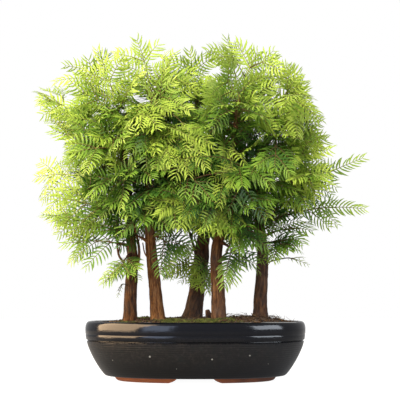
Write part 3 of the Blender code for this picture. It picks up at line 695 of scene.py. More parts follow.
points, faces = [], []
for side in (-1, 1):
    some_points, some_faces = skin(foot_rings(side))
    faces += [tuple(len(points) + i for i in face) for face in some_faces]
    points += some_points
feet = add_piece("clay_feet", new_mesh("clay_feet", points, faces, smooth=False))
feet.data.materials.append(new_material("raw_clay", raw_clay))
enter(feet, "glaze")

# %% [markdown]
# Over each drain hole lies a square of black plastic mesh, which keeps the soil in. Its solid already has
# its openings, so it stays and only gets a finish: dull moulded plastic with a little dust in it.

# %% Drain meshes


def dusty_plastic(graph):
    dust = graph.noise(graph.place(), 350.0, 4.0)
    colour = graph.mix(dust.ramp(0.5, 0.75), (0.018, 0.018, 0.018), (0.09, 0.07, 0.05))
    return principled(graph, colour, 0.55 + dust * 0.3, {"Normal": graph.bump(dust, 0.0002, 0.5)})


plastic = new_material("dusty_plastic", dusty_plastic)
for node in ("drain_mesh_left", "drain_mesh_right"):
    solid = frame["nodes"][node]
    solid.data.materials.clear()
    solid.data.materials.append(plastic)
    print(node, "keeps its solid")

# %% [markdown]
# The soil is a low mound, higher towards the middle, with a small heap under the tree on the right. Moss
# grows on it in cushions towards the rim, while the right lies bare with rootlets on top. The mound is a
# skin of contours with noise in its height. How mossy, bare or rooty each point is goes into attributes,
# which the shader and the strewn pieces read.

# %% Soil
SOIL_AT_WALL, SOIL_MOUND = 69 * MM, 8 * MM
SOIL_LEVELS, SOIL_GAP = (17 * MM, 35 * MM, 55 * MM), 0.3 * MM
SOIL_SEEN_ABOVE = 66 * MM
SOIL_AROUND, SOIL_RINGS = 150, 34
MOSS_PATCHES = ((-92, -62, 22), (-72, 20, 26), (-30, -66, 26), (10, -70, 26), (34, -58, 24), (-8, 66, 30),
                (60, 52, 24), (-58, 62, 20), (112, 18, 16))
MOSS_RISE, MOSS_FROM, MOSS_SHARPNESS = 1.6 * MM, 0.48, 2.4
SOIL_LUMPS = ((55, 0.5, 1.3), (170, 1.5, 0.8), (480, 2.5, 0.4))
ROOTY_AT = 60 * MM
HEAP_AT, HEAP_RISE, HEAP_SIZE = (82 * MM, -8 * MM), 4 * MM, 34 * MM
GOLDEN_ANGLE = math.radians(137.5)


def mossiness(x, y):
    """How much moss grows at a place, from 0 to 1."""
    near = max(math.exp(-((x / MM - px) ** 2 + (y / MM - py) ** 2) / size ** 2)
               for px, py, size in MOSS_PATCHES)
    broken = noise.noise(Vector((x, y, 0.0)) * 70) * 0.45 + noise.noise(Vector((x, y, 3.0)) * 190) * 0.3
    return max(0.0, min(1.0, (near + broken - MOSS_FROM) * MOSS_SHARPNESS))


def soil_height(x, y, share):
    """The height of the soil at a place, share being how far out it lies, from 0 to 1 at the edge."""
    lumps = sum(noise.noise(Vector((x, y, layer)) * scale) * height for scale, layer, height in SOIL_LUMPS)
    calm = 1 - share ** 8
    mound = SOIL_AT_WALL + SOIL_MOUND * (1 - share ** 3)
    heap = HEAP_RISE * math.exp(-((x - HEAP_AT[0]) ** 2 + (y - HEAP_AT[1]) ** 2) / HEAP_SIZE ** 2)
    return mound + heap + lumps * MM * calm + mossiness(x, y) * MOSS_RISE * calm


def soil_mesh():
    rings = [oval(wall_inset(height) + SOIL_GAP, height, SOIL_AROUND) for height in SOIL_LEVELS]
    edge = oval(wall_inset(SOIL_AT_WALL) + SOIL_GAP, SOIL_AT_WALL, SOIL_AROUND)
    for step in range(SOIL_RINGS):
        share = 1 - step / SOIL_RINGS
        ring = []
        for point in edge:
            x, y = point.x * share, point.y * share
            ring.append(Vector((x, y, soil_height(x, y, share))))
        rings.append(ring)
    mesh = new_mesh("soil_surface", *skin(rings))
    on_top = [vertex.co.z > SOIL_SEEN_ABOVE for vertex in mesh.vertices]
    mossy = [mossiness(v.co.x, v.co.y) * top for v, top in zip(mesh.vertices, on_top)]
    bare = [(1 - 0.6 * share) * top for share, top in zip(mossy, on_top)]
    rooty = [max(0.0, min(1.0, 0.25 + v.co.x / ROOTY_AT)) * top * (1 - share)
             for v, top, share in zip(mesh.vertices, on_top, mossy)]
    for label, values in (("moss", mossy), ("bare", bare), ("rooty", rooty)):
        set_attribute(mesh, label, values)
    return mesh


print("the soil's middle is", round(soil_height(0.0, 0.0, 0.0) / MM, 1), "mm above the table")

# %% [markdown]
# Moist soil is a mixture of dark clods and paler grit, with a green film where the moss is thin. Two sizes of
# noise give the clods and the grit, the moss attribute chooses between brown and green, and the same noise
# raises the surface.

# %% Soil finish


def soil_finish(graph):
    place = graph.place()
    moss = graph.attribute("moss")
    clods, grit = graph.noise(place, 260.0, 5.0, 0.6), graph.noise(place, 1300.0, 3.0, 0.6)
    earth = graph.colours(clods, (0.25, (0.012, 0.007, 0.004)), (0.5, (0.050, 0.028, 0.014)),
                          (0.75, (0.14, 0.085, 0.045)))
    green = graph.colours(grit, (0.3, (0.020, 0.022, 0.005)), (0.5, (0.07, 0.085, 0.012)),
                          (0.72, (0.20, 0.22, 0.04)))
    colour = graph.mix(moss.ramp(0.25, 0.6), earth, green)
    relief = clods * 0.7 + grit * 0.4
    return principled(graph, colour, 0.85 + grit * 0.15, {"Normal": graph.bump(relief, 0.0012, 0.9)})


moist_soil = new_material("moist_soil", soil_finish)

# %% [markdown]
# Crumbs, moss and rootlets lie on the soil at random, but not evenly. The tree spreads points over the skin
# in proportion to an attribute, and sets a small thing on each, leaning by up to a given angle.

# %% Strewing over a surface


def scatter_tree():
    inputs = {**STREWN, "Where": "String", "Density": "Float", "Lean": "Float"}
    tree, graph, given = new_tree("scattered", inputs)
    share = graph.node("GeometryNodeInputNamedAttribute", {"data_type": "FLOAT"},
                       {"Name": given.out("Where")})
    spots = graph.node("GeometryNodeDistributePointsOnFaces", {"distribute_method": "RANDOM"},
                       {"Mesh": given.out("Geometry"), "Density": given.out("Density") * share,
                        "Seed": given.out("Seed")})
    angles = (given.out("Lean"), given.out("Lean"), math.pi)
    placed = set_things(graph, given, spots, spots.out("Rotation"), angles, {})
    end_tree(graph, placed, given.out("Material"))
    return tree


strewn_on = scatter_tree()
print("the strewing tree has", len(strewn_on.nodes), "nodes")

# %% [markdown]
# What is strewn is drawn here at a size of about 1 and with few faces, because thousands of each are shown: a
# rough lump for a crumb, a cushion of spikes for moss, and a bent three-sided thread for a rootlet. Several
# of each kind, drawn with different seeds, keep the soil from looking stamped.

# %% Crumbs, moss and rootlets
CRUMB_SIDES, CRUMB_LEVELS = 6, (-0.75, -0.1, 0.55)
MOSS_STEMS, MOSS_SPREAD, MOSS_STEM_RADIUS = 11, 0.6, 0.13
THREAD_STEPS, THREAD_THICKNESS = 7, 0.028


def crumb_mesh(name, draw):
    """A rough lump of radius 1, half sunk where it is set."""
    rings = []
    for level in CRUMB_LEVELS:
        round_here = math.sqrt(1 - level ** 2)
        turns = [2 * math.pi * (i + draw.uniform(-0.2, 0.2)) / CRUMB_SIDES for i in range(CRUMB_SIDES)]
        rings.append([Vector((math.cos(t), math.sin(t), 0)) * round_here * draw.uniform(0.7, 1.15)
                      + UP * (level + draw.uniform(-0.15, 0.15)) for t in turns])
    return new_mesh(name, *skin(rings), smooth=False)


def tuft_mesh(name, draw):
    """A cushion of short moss stems, each a three-sided spike of about height 1."""
    points, faces = [], []
    for stem in range(MOSS_STEMS):
        turn, out = GOLDEN_ANGLE * stem, math.sqrt(stem / MOSS_STEMS) * MOSS_SPREAD
        foot = Vector((math.cos(turn) * out, math.sin(turn) * out, -0.25))
        tip = Vector((foot.x * 1.9, foot.y * 1.9, draw.uniform(0.6, 1.0) * (1 - 0.55 * out)))
        first = len(points)
        for corner in range(3):
            angle = 2 * math.pi * corner / 3 + turn
            points.append(foot + Vector((math.cos(angle), math.sin(angle), 0)) * MOSS_STEM_RADIUS)
        points.append(tip)
        faces += [(first + 2, first + 1, first)]
        faces += [(first + i, first + (i + 1) % 3, first + 3) for i in range(3)]
    return new_mesh(name, points, faces, smooth=False)


def thread_mesh(name, draw):
    """A bent rootlet of length 1 that lies on what it is set on."""
    path, heading, place = [], draw.uniform(0, 6), Vector((-0.5, 0, 0.03))
    for step in range(THREAD_STEPS + 1):
        path.append(place)
        heading += draw.uniform(-0.8, 0.8)
        way = Vector((1.0, math.sin(heading) * 0.8, math.cos(heading) * 0.35)).normalized()
        place = place + way / THREAD_STEPS
    rings = []
    for index, point in enumerate(path):
        thick = THREAD_THICKNESS * (1 - 0.7 * index / THREAD_STEPS)
        rings.append([point + Vector((0, math.cos(t), math.sin(t))) * thick for t in (0.5, 2.6, 4.7)])
    return new_mesh(name, *skin(rings), smooth=False)


def kinds_of(label, make, count):
    """A collection of several meshes of one kind, for a tree to pick from."""
    made = bpy.data.collections.new(label)
    bpy.context.scene.collection.children.link(made)
    for kind in range(count):
        name = f"{label}_{kind}"
        made.objects.link(bpy.data.objects.new(name, make(name, random.Random(name))))
    return made


def drop(collection):
    for thing in list(collection.objects):
        bpy.data.objects.remove(thing, do_unlink=True)
    bpy.data.collections.remove(collection)


print("a crumb has", 2 * CRUMB_SIDES * len(CRUMB_LEVELS), "triangles and a cushion", 4 * MOSS_STEMS)

# %% [markdown]
# The crumbs are brown, the moss a yellowish green and the rootlets pale straw to dark brown. None of them
# is glossy. The colour runs through three stops in patches a few millimetres wide, so that the soil looks
# damp here and dry there.

# %% Finishes of what is strewn


def grainy(graph, tone, stops, grain, roughness, relief):
    """A matt finish: colour that runs through stops in patches, under a fine grain."""
    place = graph.place()
    grain = graph.noise(place, grain, 2.0)
    colour = graph.colours(graph.noise(place, *tone), *stops)
    more = {"Specular IOR Level": 0.2, "Normal": graph.bump(grain, *relief)}
    return principled(graph, colour, roughness + (grain - 0.5) * 0.2, more)


def soil_crumb_finish(graph):
    stops = (0.3, (0.010, 0.005, 0.003)), (0.5, (0.042, 0.022, 0.010)), (0.72, (0.17, 0.10, 0.05))
    return grainy(graph, (190.0, 4.0, 0.7), stops, 1500.0, 0.85, (0.0004, 0.8))


def moss_finish(graph):
    stops = (0.32, (0.022, 0.022, 0.005)), (0.5, (0.085, 0.105, 0.014)), (0.68, (0.27, 0.29, 0.055))
    return grainy(graph, (120.0, 4.0, 0.6), stops, 1800.0, 0.75, (0.0002, 0.5))


def rootlet_finish(graph):
    tone = graph.noise(graph.place(), 90.0, 3.0)
    stops = (0.35, (0.030, 0.014, 0.006)), (0.6, (0.16, 0.085, 0.035)), (0.75, (0.30, 0.22, 0.10))
    return principled(graph, graph.colours(tone, *stops), 0.7 + tone * 0.2, {"Specular IOR Level": 0.2})


STREWN_FINISHES = {
    "soil_crumbs": new_material("soil_crumbs", soil_crumb_finish),
    "moss": new_material("moss", moss_finish),
    "rootlets": new_material("rootlets", rootlet_finish),
}

# %% [markdown]
# Now the soil is covered. Each kind is strewn over a copy of the soil's skin and kept as one piece of its
# own, since it has a finish of its own. The last piece is the skin itself, which replaces the solid soil.
# A row gives the name, mesh, number of kinds, attribute, how many to a square metre, lean, sizes in
# millimetres and material slot.

# %% Covering the soil
COVERS = (("soil_crumbs", crumb_mesh, 6, "bare", 46000, 0.6, (0.7, 2.6), "soil"),
          ("moss", tuft_mesh, 4, "moss", 130000, 0.3, (1.6, 4.2), "young_needles"),
          ("rootlets", thread_mesh, 6, "rooty", 26000, 0.75, (7.0, 19.0), "bark"))


def cover_soil():
    """Crumbs, moss and rootlets, each strewn over a copy of the soil's skin where its attribute says."""
    for number, (label, make, count, where, density, lean, (least, most), slot) in enumerate(COVERS):
        things = kinds_of(label, make, count)
        values = {"Things": things, "Where": where, "Density": density, "Lean": lean, "Smallest": least * MM,
                  "Largest": most * MM, "Seed": number, "Material": STREWN_FINISHES[label]}
        piece = grown(label, soil_mesh(), strewn_on, values)
        drop(things)
        enter(piece, slot)


cover_soil()
soil = add_piece("soil_surface", soil_mesh())
soil.data.materials.append(moist_soil)
enter(soil, "soil", "soil")

# %% [markdown]
# Five trunks carry everything else. Each is a smooth curve through a few points, thick at the base and thin
# at the top, and its foot spreads into roots on one side more than on the others. The points, radii and
# spread are those of the solids, so that the bark fits over them. A row gives the points, the radius at
# both ends, how far the foot spreads and towards which bearing.

# %% Trees, as in the solids
TREES = {
    "tree_1": (((-81, -34, 77), (-81, -34, 112), (-79, -34, 150), (-82, -33, 190), (-86, -31, 240),
                (-92, -30, 295), (-101, -30, 345)), 8.5, 2.2, 0.16, 200),
    "tree_2": (((-47, -34, 77), (-50, -34, 112), (-54, -34, 148), (-57, -33, 180), (-59, -30, 230),
                (-58, -28, 290), (-56, -28, 360)), 8.7, 2.2, 0.20, 330),
    "tree_3": (((-3, 36, 77), (0, 36, 101), (3, 35, 125), (8, 35, 167), (11, 36, 190), (9, 38, 240),
                (4, 38, 305), (1, 34, 372)), 11.6, 2.3, 0.42, 185),
    "tree_4": (((29, -37, 77), (28, -37, 119), (26, -37, 150), (28, -36, 172), (36, -34, 197),
                (42, -32, 230), (47, -30, 265), (52, -28, 325), (56, -26, 358)), 9.2, 2.2, 0.14, 20),
    "tree_5": (((82, -4, 77), (83, -4, 101), (85, -4, 125), (86, -4, 160), (84, -3, 190),
                (80, -2, 216), (84, 0, 255), (94, 2, 310), (103, 2, 350)), 9.0, 2.3, 0.36, 340),
}
TAPER_POWER, FLARE_HEIGHT, STEM_DEPTH = 0.95, 9 * MM, 20 * MM
TRUNK_AROUND, TRUNK_STEP = 44, 2.2 * MM


def trunk_path(name):
    return [Vector(point) * MM for point in TREES[name][0]]


def trunk_at(name, height):
    path = trunk_path(name)
    for index in range(len(path) - 1):
        if path[index].z <= height <= path[index + 1].z:
            share = (height - path[index].z) / (path[index + 1].z - path[index].z)
            return smooth_point(path, index + share)
    return path[-1] if height > path[0].z else path[0]


def trunk_radius(name, height):
    path, base, top = TREES[name][:3]
    low, high = path[0][2] * MM, path[-1][2] * MM
    share = max(0.0, min(1.0, (height - low) / (high - low)))
    return (base + (top - base) * share ** TAPER_POWER) * MM


def flare_radius(name, angle, height):
    path, _base, _top, spread, bearing = TREES[name]
    above = max(0.0, height - path[0][2] * MM)
    falling = math.exp(-above / FLARE_HEIGHT)
    turn = angle - math.radians(bearing)
    roots = 0.55 + 0.3 * math.cos(turn) + 0.15 * math.cos(3 * turn)
    return trunk_radius(name, height) * (1 + spread * falling * roots)


for tree in TREES:
    print(tree, "has a trunk", round(trunk_path(tree)[-1].z / MM), "mm high")

# %% [markdown]
# The bark of a dawn redwood peels in long thin strips, so its relief is stretched noise: fine furrows that
# run up the trunk and twist slowly. The relief is in the mesh, because it shows at the trunk's edge. A trunk,
# a branch and a twig are all tubes along a path, so one class makes them and remembers for each point its
# place in the bark, which the colour reads.

# %% Tubes of wood
FURROW_DEPTH, FURROW_TWIST = 0.75 * MM, 4.0


def bark_relief(turn, along, seed):
    """The height of the bark above or below its mean, from about -1 to 1."""
    turn += along * FURROW_TWIST
    broad = noise.noise(Vector((math.cos(turn) * 2.2, math.sin(turn) * 2.2, along * 38 + seed)))
    strips = noise.noise(Vector((math.cos(turn) * 6.0, math.sin(turn) * 6.0, along * 60 + seed)))
    return broad * 0.7 + (0.5 - abs(strips) * 2.2) * 0.9


class Wood:
    """The skin of one tree's trunk, branches and twigs, with the place of each point in the bark."""

    def __init__(self, seed):
        self.points, self.faces, self.bark, self.seed = [], [], [], seed

    def tube(self, middles, radius_at, around, relief):
        """A tube along points. radius_at gives its radius from the index and the turn."""
        along_so_far, over, rings, places = 0.0, None, [], []
        for index, middle in enumerate(middles):
            ahead = middles[min(index + 1, len(middles) - 1)]
            behind = middles[max(index - 1, 0)]
            along = (ahead - behind).normalized()
            if over is None:
                over = along.orthogonal() if abs(along.x) > 0.9 else Vector((1, 0, 0))
            over = (over - along * over.dot(along)).normalized()
            across = along.cross(over)
            along_so_far += (middle - behind).length
            ring = []
            for i in range(around):
                turn = 2 * math.pi * i / around
                radius = radius_at(index, turn)
                radius += relief * bark_relief(turn, along_so_far, self.seed)
                ring.append(middle + (over * math.cos(turn) + across * math.sin(turn)) * radius)
                places.append((math.cos(turn) * radius, math.sin(turn) * radius, along_so_far + self.seed))
            rings.append(ring)
        points, faces = skin(rings)
        places += [(0, 0, self.seed), (0, 0, along_so_far + self.seed)]
        self.faces += [tuple(len(self.points) + i for i in face) for face in faces]
        self.points += points
        self.bark += places
        self.seed += 1.7

    def mesh(self, name):
        mesh = new_mesh(name, self.points, self.faces)
        set_attribute(mesh, "bark", self.bark, "FLOAT_VECTOR")
        return mesh


def add_trunk(wood, name):
    """A trunk from the foot of its stub in the soil up to its top."""
    path = trunk_path(name)
    heights = [path[0].z - STEM_DEPTH]
    while heights[-1] < path[-1].z - TRUNK_STEP:
        heights.append(heights[-1] + TRUNK_STEP)
    middles = [trunk_at(name, height) + UP * min(0.0, height - path[0].z) for height in heights]

    def radius_at(index, turn):
        return flare_radius(name, turn, heights[index])

    wood.tube(middles, radius_at, TRUNK_AROUND, FURROW_DEPTH)


print("a furrow is up to", round(FURROW_DEPTH / MM, 2), "mm deep")

# %% [markdown]
# A frond is the leafy end of a branch. The solids give each one's tip, its arch and the tree it grows from,
# and choose a sideways bend that keeps it clear of its neighbours. The same rule runs here with the same
# numbers, so that every branch and frond lies exactly where its solid does. A row gives the tree, the height
# where the branch leaves it, the tip, the arch and how widely the frond spreads.

# %% Fronds, as in the solids
FROND_ROWS = {
    "low_left": ("tree_1", 168, (-173, -40, 168), 0.14, 0.6),
    "left": ("tree_1", 178, (-202, -15, 209), 0.12, 0.5),
    "left_front": ("tree_1", 200, (-178, -66, 226), 0.12, 0.6),
    "left_bright": ("tree_1", 236, (-216, 15, 260), 0.18, 0.8),
    "left_high": ("tree_1", 296, (-212, 6, 368), 0.12, 0.9),
    "left_middle": ("tree_1", 266, (-186, -52, 314), 0.12, 0.9),
    "left_top": ("tree_1", 318, (-156, 8, 414), 0.12, 0.9),
    "leader_1": ("tree_1", 345, (-130, -42, 424), 0.25, 0.8),
    "front_1": ("tree_1", 258, (-124, -112, 292), 0.36, 1.0),
    "back_left_1": ("tree_1", 205, (-163, 68, 246), 0.12, 0.9),
    "back_1": ("tree_1", 280, (-137, 86, 336), 0.10, 1.0),
    "tuft_1": ("tree_1", 156, (-92, -82, 128), 0.34, 0.5),
    "leader_2": ("tree_2", 360, (-78, -44, 437), 0.25, 0.8),
    "top_2": ("tree_2", 332, (-24, -18, 426), 0.18, 0.8),
    "front_high_2": ("tree_2", 296, (-46, -116, 300), 0.34, 1.0),
    "front_2": ("tree_2", 258, (22, -128, 212), 0.34, 0.7),
    "front_left_2": ("tree_2", 205, (-104, -116, 208), 0.36, 0.7),
    "low_right_2": ("tree_2", 182, (-20, -62, 148), 0.30, 0.5),
    "back_2": ("tree_2", 236, (-80, 92, 296), 0.12, 1.0),
    "low_left_2": ("tree_2", 172, (-120, -92, 180), 0.22, 0.5),
    "leader_3": ("tree_3", 372, (-10, 20, 440), 0.20, 0.8),
    "top_left_3": ("tree_3", 326, (-30, 92, 416), 0.16, 0.9),
    "top_right_3": ("tree_3", 314, (36, 94, 408), 0.16, 0.9),
    "back_left_3": ("tree_3", 282, (-66, 130, 338), 0.12, 1.0),
    "back_right_3": ("tree_3", 268, (70, 130, 326), 0.12, 1.0),
    "back_3": ("tree_3", 210, (-2, 131, 250), 0.22, 1.0),
    "back_low_left_3": ("tree_3", 188, (-68, 114, 204), 0.22, 0.8),
    "back_low_right_3": ("tree_3", 184, (64, 112, 192), 0.24, 0.8),
    "fan_3": ("tree_3", 174, (-22, 6, 126), 0.36, 0.5),
    "hanging_3": ("tree_3", 164, (16, -14, 104), 0.38, 0.4),
    "leader_4": ("tree_4", 358, (38, -38, 440), 0.20, 0.8),
    "top_right_4": ("tree_4", 340, (84, -38, 422), 0.16, 0.9),
    "front_high_4": ("tree_4", 304, (56, -128, 330), 0.32, 1.0),
    "front_falling_4": ("tree_4", 262, (56, -128, 228), 0.40, 0.9),
    "front_upper_4": ("tree_4", 288, (-10, -106, 300), 0.34, 1.0),
    "front_left_4": ("tree_4", 222, (-47, -112, 196), 0.32, 0.65),
    "front_hanging_4": ("tree_4", 212, (25, -112, 175), 0.34, 0.55),
    "low_right_4": ("tree_4", 172, (60, -66, 136), 0.34, 0.5),
    "hanging_right_4": ("tree_4", 196, (74, -92, 158), 0.34, 0.6),
    "leader_5": ("tree_5", 350, (124, -6, 414), 0.25, 0.8),
    "right_top_5": ("tree_5", 322, (144, -28, 386), 0.16, 0.9),
    "right_falling_5": ("tree_5", 338, (160, -60, 318), 0.58, 0.9),
    "right_middle_5": ("tree_5", 254, (172, -74, 284), 0.18, 1.0),
    "far_right_5": ("tree_5", 218, (219, -40, 282), 0.04, 0.45),
    "far_right_low_5": ("tree_5", 196, (218, -50, 212), 0.16, 0.45),
    "right_low_5": ("tree_5", 180, (152, -50, 184), 0.20, 0.5),
    "tuft_5": ("tree_5", 168, (116, -78, 156), 0.26, 0.45),
    "front_high_5": ("tree_5", 272, (114, -112, 294), 0.34, 1.0),
    "front_5": ("tree_5", 236, (168, -84, 236), 0.30, 0.9),
    "back_high_5": ("tree_5", 300, (146, 84, 356), 0.10, 1.0),
    "back_5": ("tree_5", 216, (158, 92, 262), 0.14, 0.9),
}
FRONDS = {"frond_" + label: row for label, row in FROND_ROWS.items()}
print(len(FRONDS), "fronds on", len(TREES), "trees")

# %% [markdown]
# A branch leaves its trunk, arches up and hangs over at its tip, which three points are enough to draw: its
# start, its end and a control point above the middle. Lengths along the curve say where its wood ends and
# its leaves begin.

# %% Curves of the branches
BRANCH_RADIUS, BRANCH_END_RADIUS = 2.3 * MM, 1.3 * MM
BRANCH_SHORTEST, FROND_LONGEST = 20 * MM, 98 * MM
BRANCH_BENDS = (0.0, 0.08, -0.08, 0.16, -0.16, 0.24, -0.24, 0.32, -0.32)
LEADER_GAP, GAP = 0.8 * MM, 0.3 * MM
CURVE_POINTS = 60


def is_leader(name):
    return "leader" in name


def arched(start, control, end):
    """Points along a curve that sets out from start towards control and comes to end."""
    shares = [i / CURVE_POINTS for i in range(CURVE_POINTS + 1)]
    return [start * (1 - t) ** 2 + control * 2 * t * (1 - t) + end * t ** 2 for t in shares]


def frond_curve(name, bend):
    tree, leaves_at, tip, arch, _spread = FRONDS[name]
    start = trunk_at(tree, leaves_at * MM)
    end = Vector(tip) * MM
    straight = end - start
    across = straight.cross(UP)
    across = across.normalized() if across.length > 1 * MM else Vector((1, 0, 0))
    control = (start + end) / 2 + UP * arch * straight.length + across * bend * straight.length
    return arched(start, control, end)


def lengths_along(points):
    lengths = [0.0]
    for a, b in zip(points, points[1:]):
        lengths.append(lengths[-1] + (b - a).length)
    return lengths


def at_length(points, lengths, length):
    index = int(np.searchsorted(lengths, length, side="right")) - 1
    index = max(0, min(index, len(points) - 2))
    share = (length - lengths[index]) / (lengths[index + 1] - lengths[index])
    return points[index].lerp(points[index + 1], max(0.0, min(1.0, share)))


longest_branch = max(FRONDS, key=lambda name: lengths_along(frond_curve(name, 0.0))[-1])
print("the longest branch carries", longest_branch)

# %% [markdown]
# Real branches grow where they find room. Here each one tries a straight way first and then bends to either
# side, until it keeps clear of the trunks and of the branches before it. The order of the table matters
# for that, and it is the order of the solids.

# %% Room for the branches
SHOOT_HALF_WIDTH, BRANCH_ROOM, SAMPLE_STEP = 2.2 * MM, 3.2 * MM, 3 * MM


class Room:
    """The space that is taken, as points that each have a radius and belong to a tree or a frond."""

    def __init__(self):
        self.places, self.radii, self.owners = [], [], []

    def take(self, points, radius, owner):
        self.places += [tuple(point) for point in points]
        self.radii += [radius] * len(points)
        self.owners += [owner] * len(points)

    def is_free(self, points, own=None):
        others = np.array(self.owners) != own
        places, radii = np.array(self.places)[others], np.array(self.radii)[others]
        away = np.linalg.norm(places[:, None] - np.array([tuple(p) for p in points])[None], axis=2)
        return bool((away > radii[:, None] + BRANCH_ROOM).all())


def plan_branches():
    """Each frond's curve, the lengths along it and where its wood ends."""
    room, plans = Room(), {}
    for tree in TREES:
        low, high = trunk_path(tree)[0].z, trunk_path(tree)[-1].z
        for step in range(int((high - low) / SAMPLE_STEP)):
            height = low + step * SAMPLE_STEP
            room.take([trunk_at(tree, height)], trunk_radius(tree, height), tree)
    for name, (tree, *_rest) in FRONDS.items():
        for bend in BRANCH_BENDS:
            points = frond_curve(name, bend)
            lengths = lengths_along(points)
            woody = 0.0 if is_leader(name) else max(BRANCH_SHORTEST, lengths[-1] - FROND_LONGEST)
            wood = [p for p, at in zip(points, lengths) if at <= woody]
            green = [p for p, at in zip(points, lengths) if at > woody]
            if is_leader(name) or (room.is_free(wood, own=tree) and room.is_free(green)):
                break
        plans[name] = (points, lengths, woody)
        room.take(wood, BRANCH_RADIUS, tree)
        room.take(green, SHOOT_HALF_WIDTH, name)
    return plans


plans = plan_branches()
print(len(plans), "fronds planned")

# %% [markdown]
# A leafy shoot is flat, and its upper side turns to the light: upwards, and outwards to whichever side of the
# planting is nearer. A little chance keeps the fronds from all lying in parallel planes.

# %% Which way a frond faces
LEAF_PLANE_RISE, LEAF_PLANE_FACING, LEAF_PLANE_JITTER = 0.55, 0.85, 0.25
BACK_BEGINS = 18 * MM
SEED = 7


def leaf_plane(middle, along, draw):
    """The direction that a frond's upper side faces."""
    front = -1.0 if middle.y < BACK_BEGINS else 1.0
    facing = Vector((LEAF_PLANE_JITTER * math.copysign(1.0, middle.x), front, 0.0)).normalized()
    jitter = Vector([draw.uniform(-LEAF_PLANE_JITTER, LEAF_PLANE_JITTER) for _axis in range(3)])
    wanted = UP * LEAF_PLANE_RISE + facing * LEAF_PLANE_FACING + jitter
    return square_to(wanted, along)


def square_to(plane, along):
    """The part of a direction that is square to another."""
    return (plane - along * plane.dot(along)).normalized()


def tilted(plane, along, draw, most):
    return (Matrix.Rotation(draw.uniform(-most, most), 3, along) @ plane).normalized()


sample = leaf_plane(Vector((0, -1, 0)), Vector((1, 0, 0)), random.Random(0))
print("a level shoot at the front faces", [round(part, 2) for part in sample])

# %% [markdown]
# Seen from the front, the crowns of the five trees run into one cloud of green with an uneven edge. The edge
# is drawn here as the few points that its shape needs, in the upright plane through the tray's middle. A
# shoot that would poke out of it is made shorter, which is what years of clipping do to a real one.

# %% Edge of the crowns
CANOPY_EDGE = ((-104, 184), (-120, 198), (-132, 212), (-138, 230), (-152, 246), (-162, 264), (-168, 288),
               (-170, 312), (-204, 328), (-214, 352), (-212, 378), (-182, 398), (-164, 424), (-140, 440),
               (-90, 440), (-58, 434), (-42, 440), (-8, 436), (24, 440), (74, 440), (100, 428), (134, 410),
               (142, 384), (156, 358), (166, 320), (174, 298), (182, 276), (176, 254), (164, 236), (146, 222),
               (128, 208), (112, 194), (84, 178), (62, 168), (40, 174), (4, 180), (-20, 196), (-40, 184),
               (-56, 172), (-72, 186), (-92, 178))
CANOPY_MIDDLE, CANOPY_HALF = Vector((0, 0, 270)) * MM, Vector((215, 130, 178)) * MM
CANOPY_NARROWS, NEEDLE_REACH = 0.75, 12 * MM


def in_canopy(point):
    """True where a point lies in front of or behind the inside of the edge, seen from the camera."""
    nearer = -CAMERA_PLACE.y / (point.y - CAMERA_PLACE.y)
    x = (CAMERA_PLACE.x + (point.x - CAMERA_PLACE.x) * nearer) / MM
    z = (CAMERA_PLACE.z + (point.z - CAMERA_PLACE.z) * nearer) / MM
    inside = False
    for (x1, z1), (x2, z2) in zip(CANOPY_EDGE, CANOPY_EDGE[1:] + CANOPY_EDGE[:1]):
        if (z1 > z) != (z2 > z) and x < x1 + (x2 - x1) * (z - z1) / (z2 - z1):
            inside = not inside
    up = (point.z - CANOPY_MIDDLE.z) / CANOPY_HALF.z
    return inside and abs(point.y) < CANOPY_HALF.y * math.sqrt(max(0.0, 1 - CANOPY_NARROWS * up ** 2))


def in_box(point):
    """True where a needle at a point stays inside the box of the solids."""
    return all(cad_low[i] + NEEDLE_REACH < point[i] < cad_high[i] - NEEDLE_REACH for i in range(3))


print("in the canopy:", sum(in_canopy(Vector(frond[2]) * MM) for frond in FRONDS.values()), "frond tips")

# %% [markdown]
# New growth is bright and old growth is dark. The tips that are high up and far out are the youngest, and
# deep inside the trees nothing new grows. The same number carries painted light and shade: higher up is
# painted brighter, deep inside and towards the back painted darker, and behind the long sprays at the front
# spots of painted shadow darken it more. So youth and painted light are one number for each place, which
# the shader turns into colour. Each spot of painted shadow is given as its middle, its half width and half
# height in millimetres, and how much it takes away.

# %% How young the growth is, with painted light and shade
# Spots of painted shadow behind the long sprays at the front.
PAINTED_SHADOW_SPOTS = (((44, 262), (36, 46), 0.50), ((-62, 226), (40, 34), 0.15), ((0, 224), (34, 26), 0.22))
YOUTH_AND_LIGHT_FROM, YOUTH_AND_LIGHT_OUT, YOUTH_AND_LIGHT_UP, YOUTH_AND_LIGHT_RIGHT, YOUTH_AND_LIGHT_BACK = 0.46, 1.2, 0.50, 0.04, 0.03
DEPTH_COUNTS = 0.6


def painted_shadow(point):
    """How much darker the leaves are painted behind the long sprays: spots of painted shadow."""
    total = 0.0
    for (x, z), (wide, high), depth in PAINTED_SHADOW_SPOTS:
        across, up = (point.x - x * MM) / (wide * MM), (point.z - z * MM) / (high * MM)
        total += depth * math.exp(-across ** 2 - up ** 2)
    return total


def youth_and_light_at(point):
    """How young the growth is, painted light and shade included: 0 deep inside the trees, 1 high up and out
    at the tips.
    """
    away = point - CANOPY_MIDDLE
    across, deep, up = away.x / CANOPY_HALF.x, away.y / CANOPY_HALF.y, away.z / CANOPY_HALF.z
    outness = math.sqrt(across ** 2 + (DEPTH_COUNTS * deep) ** 2 + max(up, 0.0) ** 2)
    # Youth and painted light in one number: brighter higher up and further out, painted shade deep inside and
    # towards the back.
    young = (outness - YOUTH_AND_LIGHT_FROM) * YOUTH_AND_LIGHT_OUT + YOUTH_AND_LIGHT_UP * up + YOUTH_AND_LIGHT_RIGHT * across - YOUTH_AND_LIGHT_BACK * deep
    return max(0.0, min(1.0, young)) - painted_shadow(point)


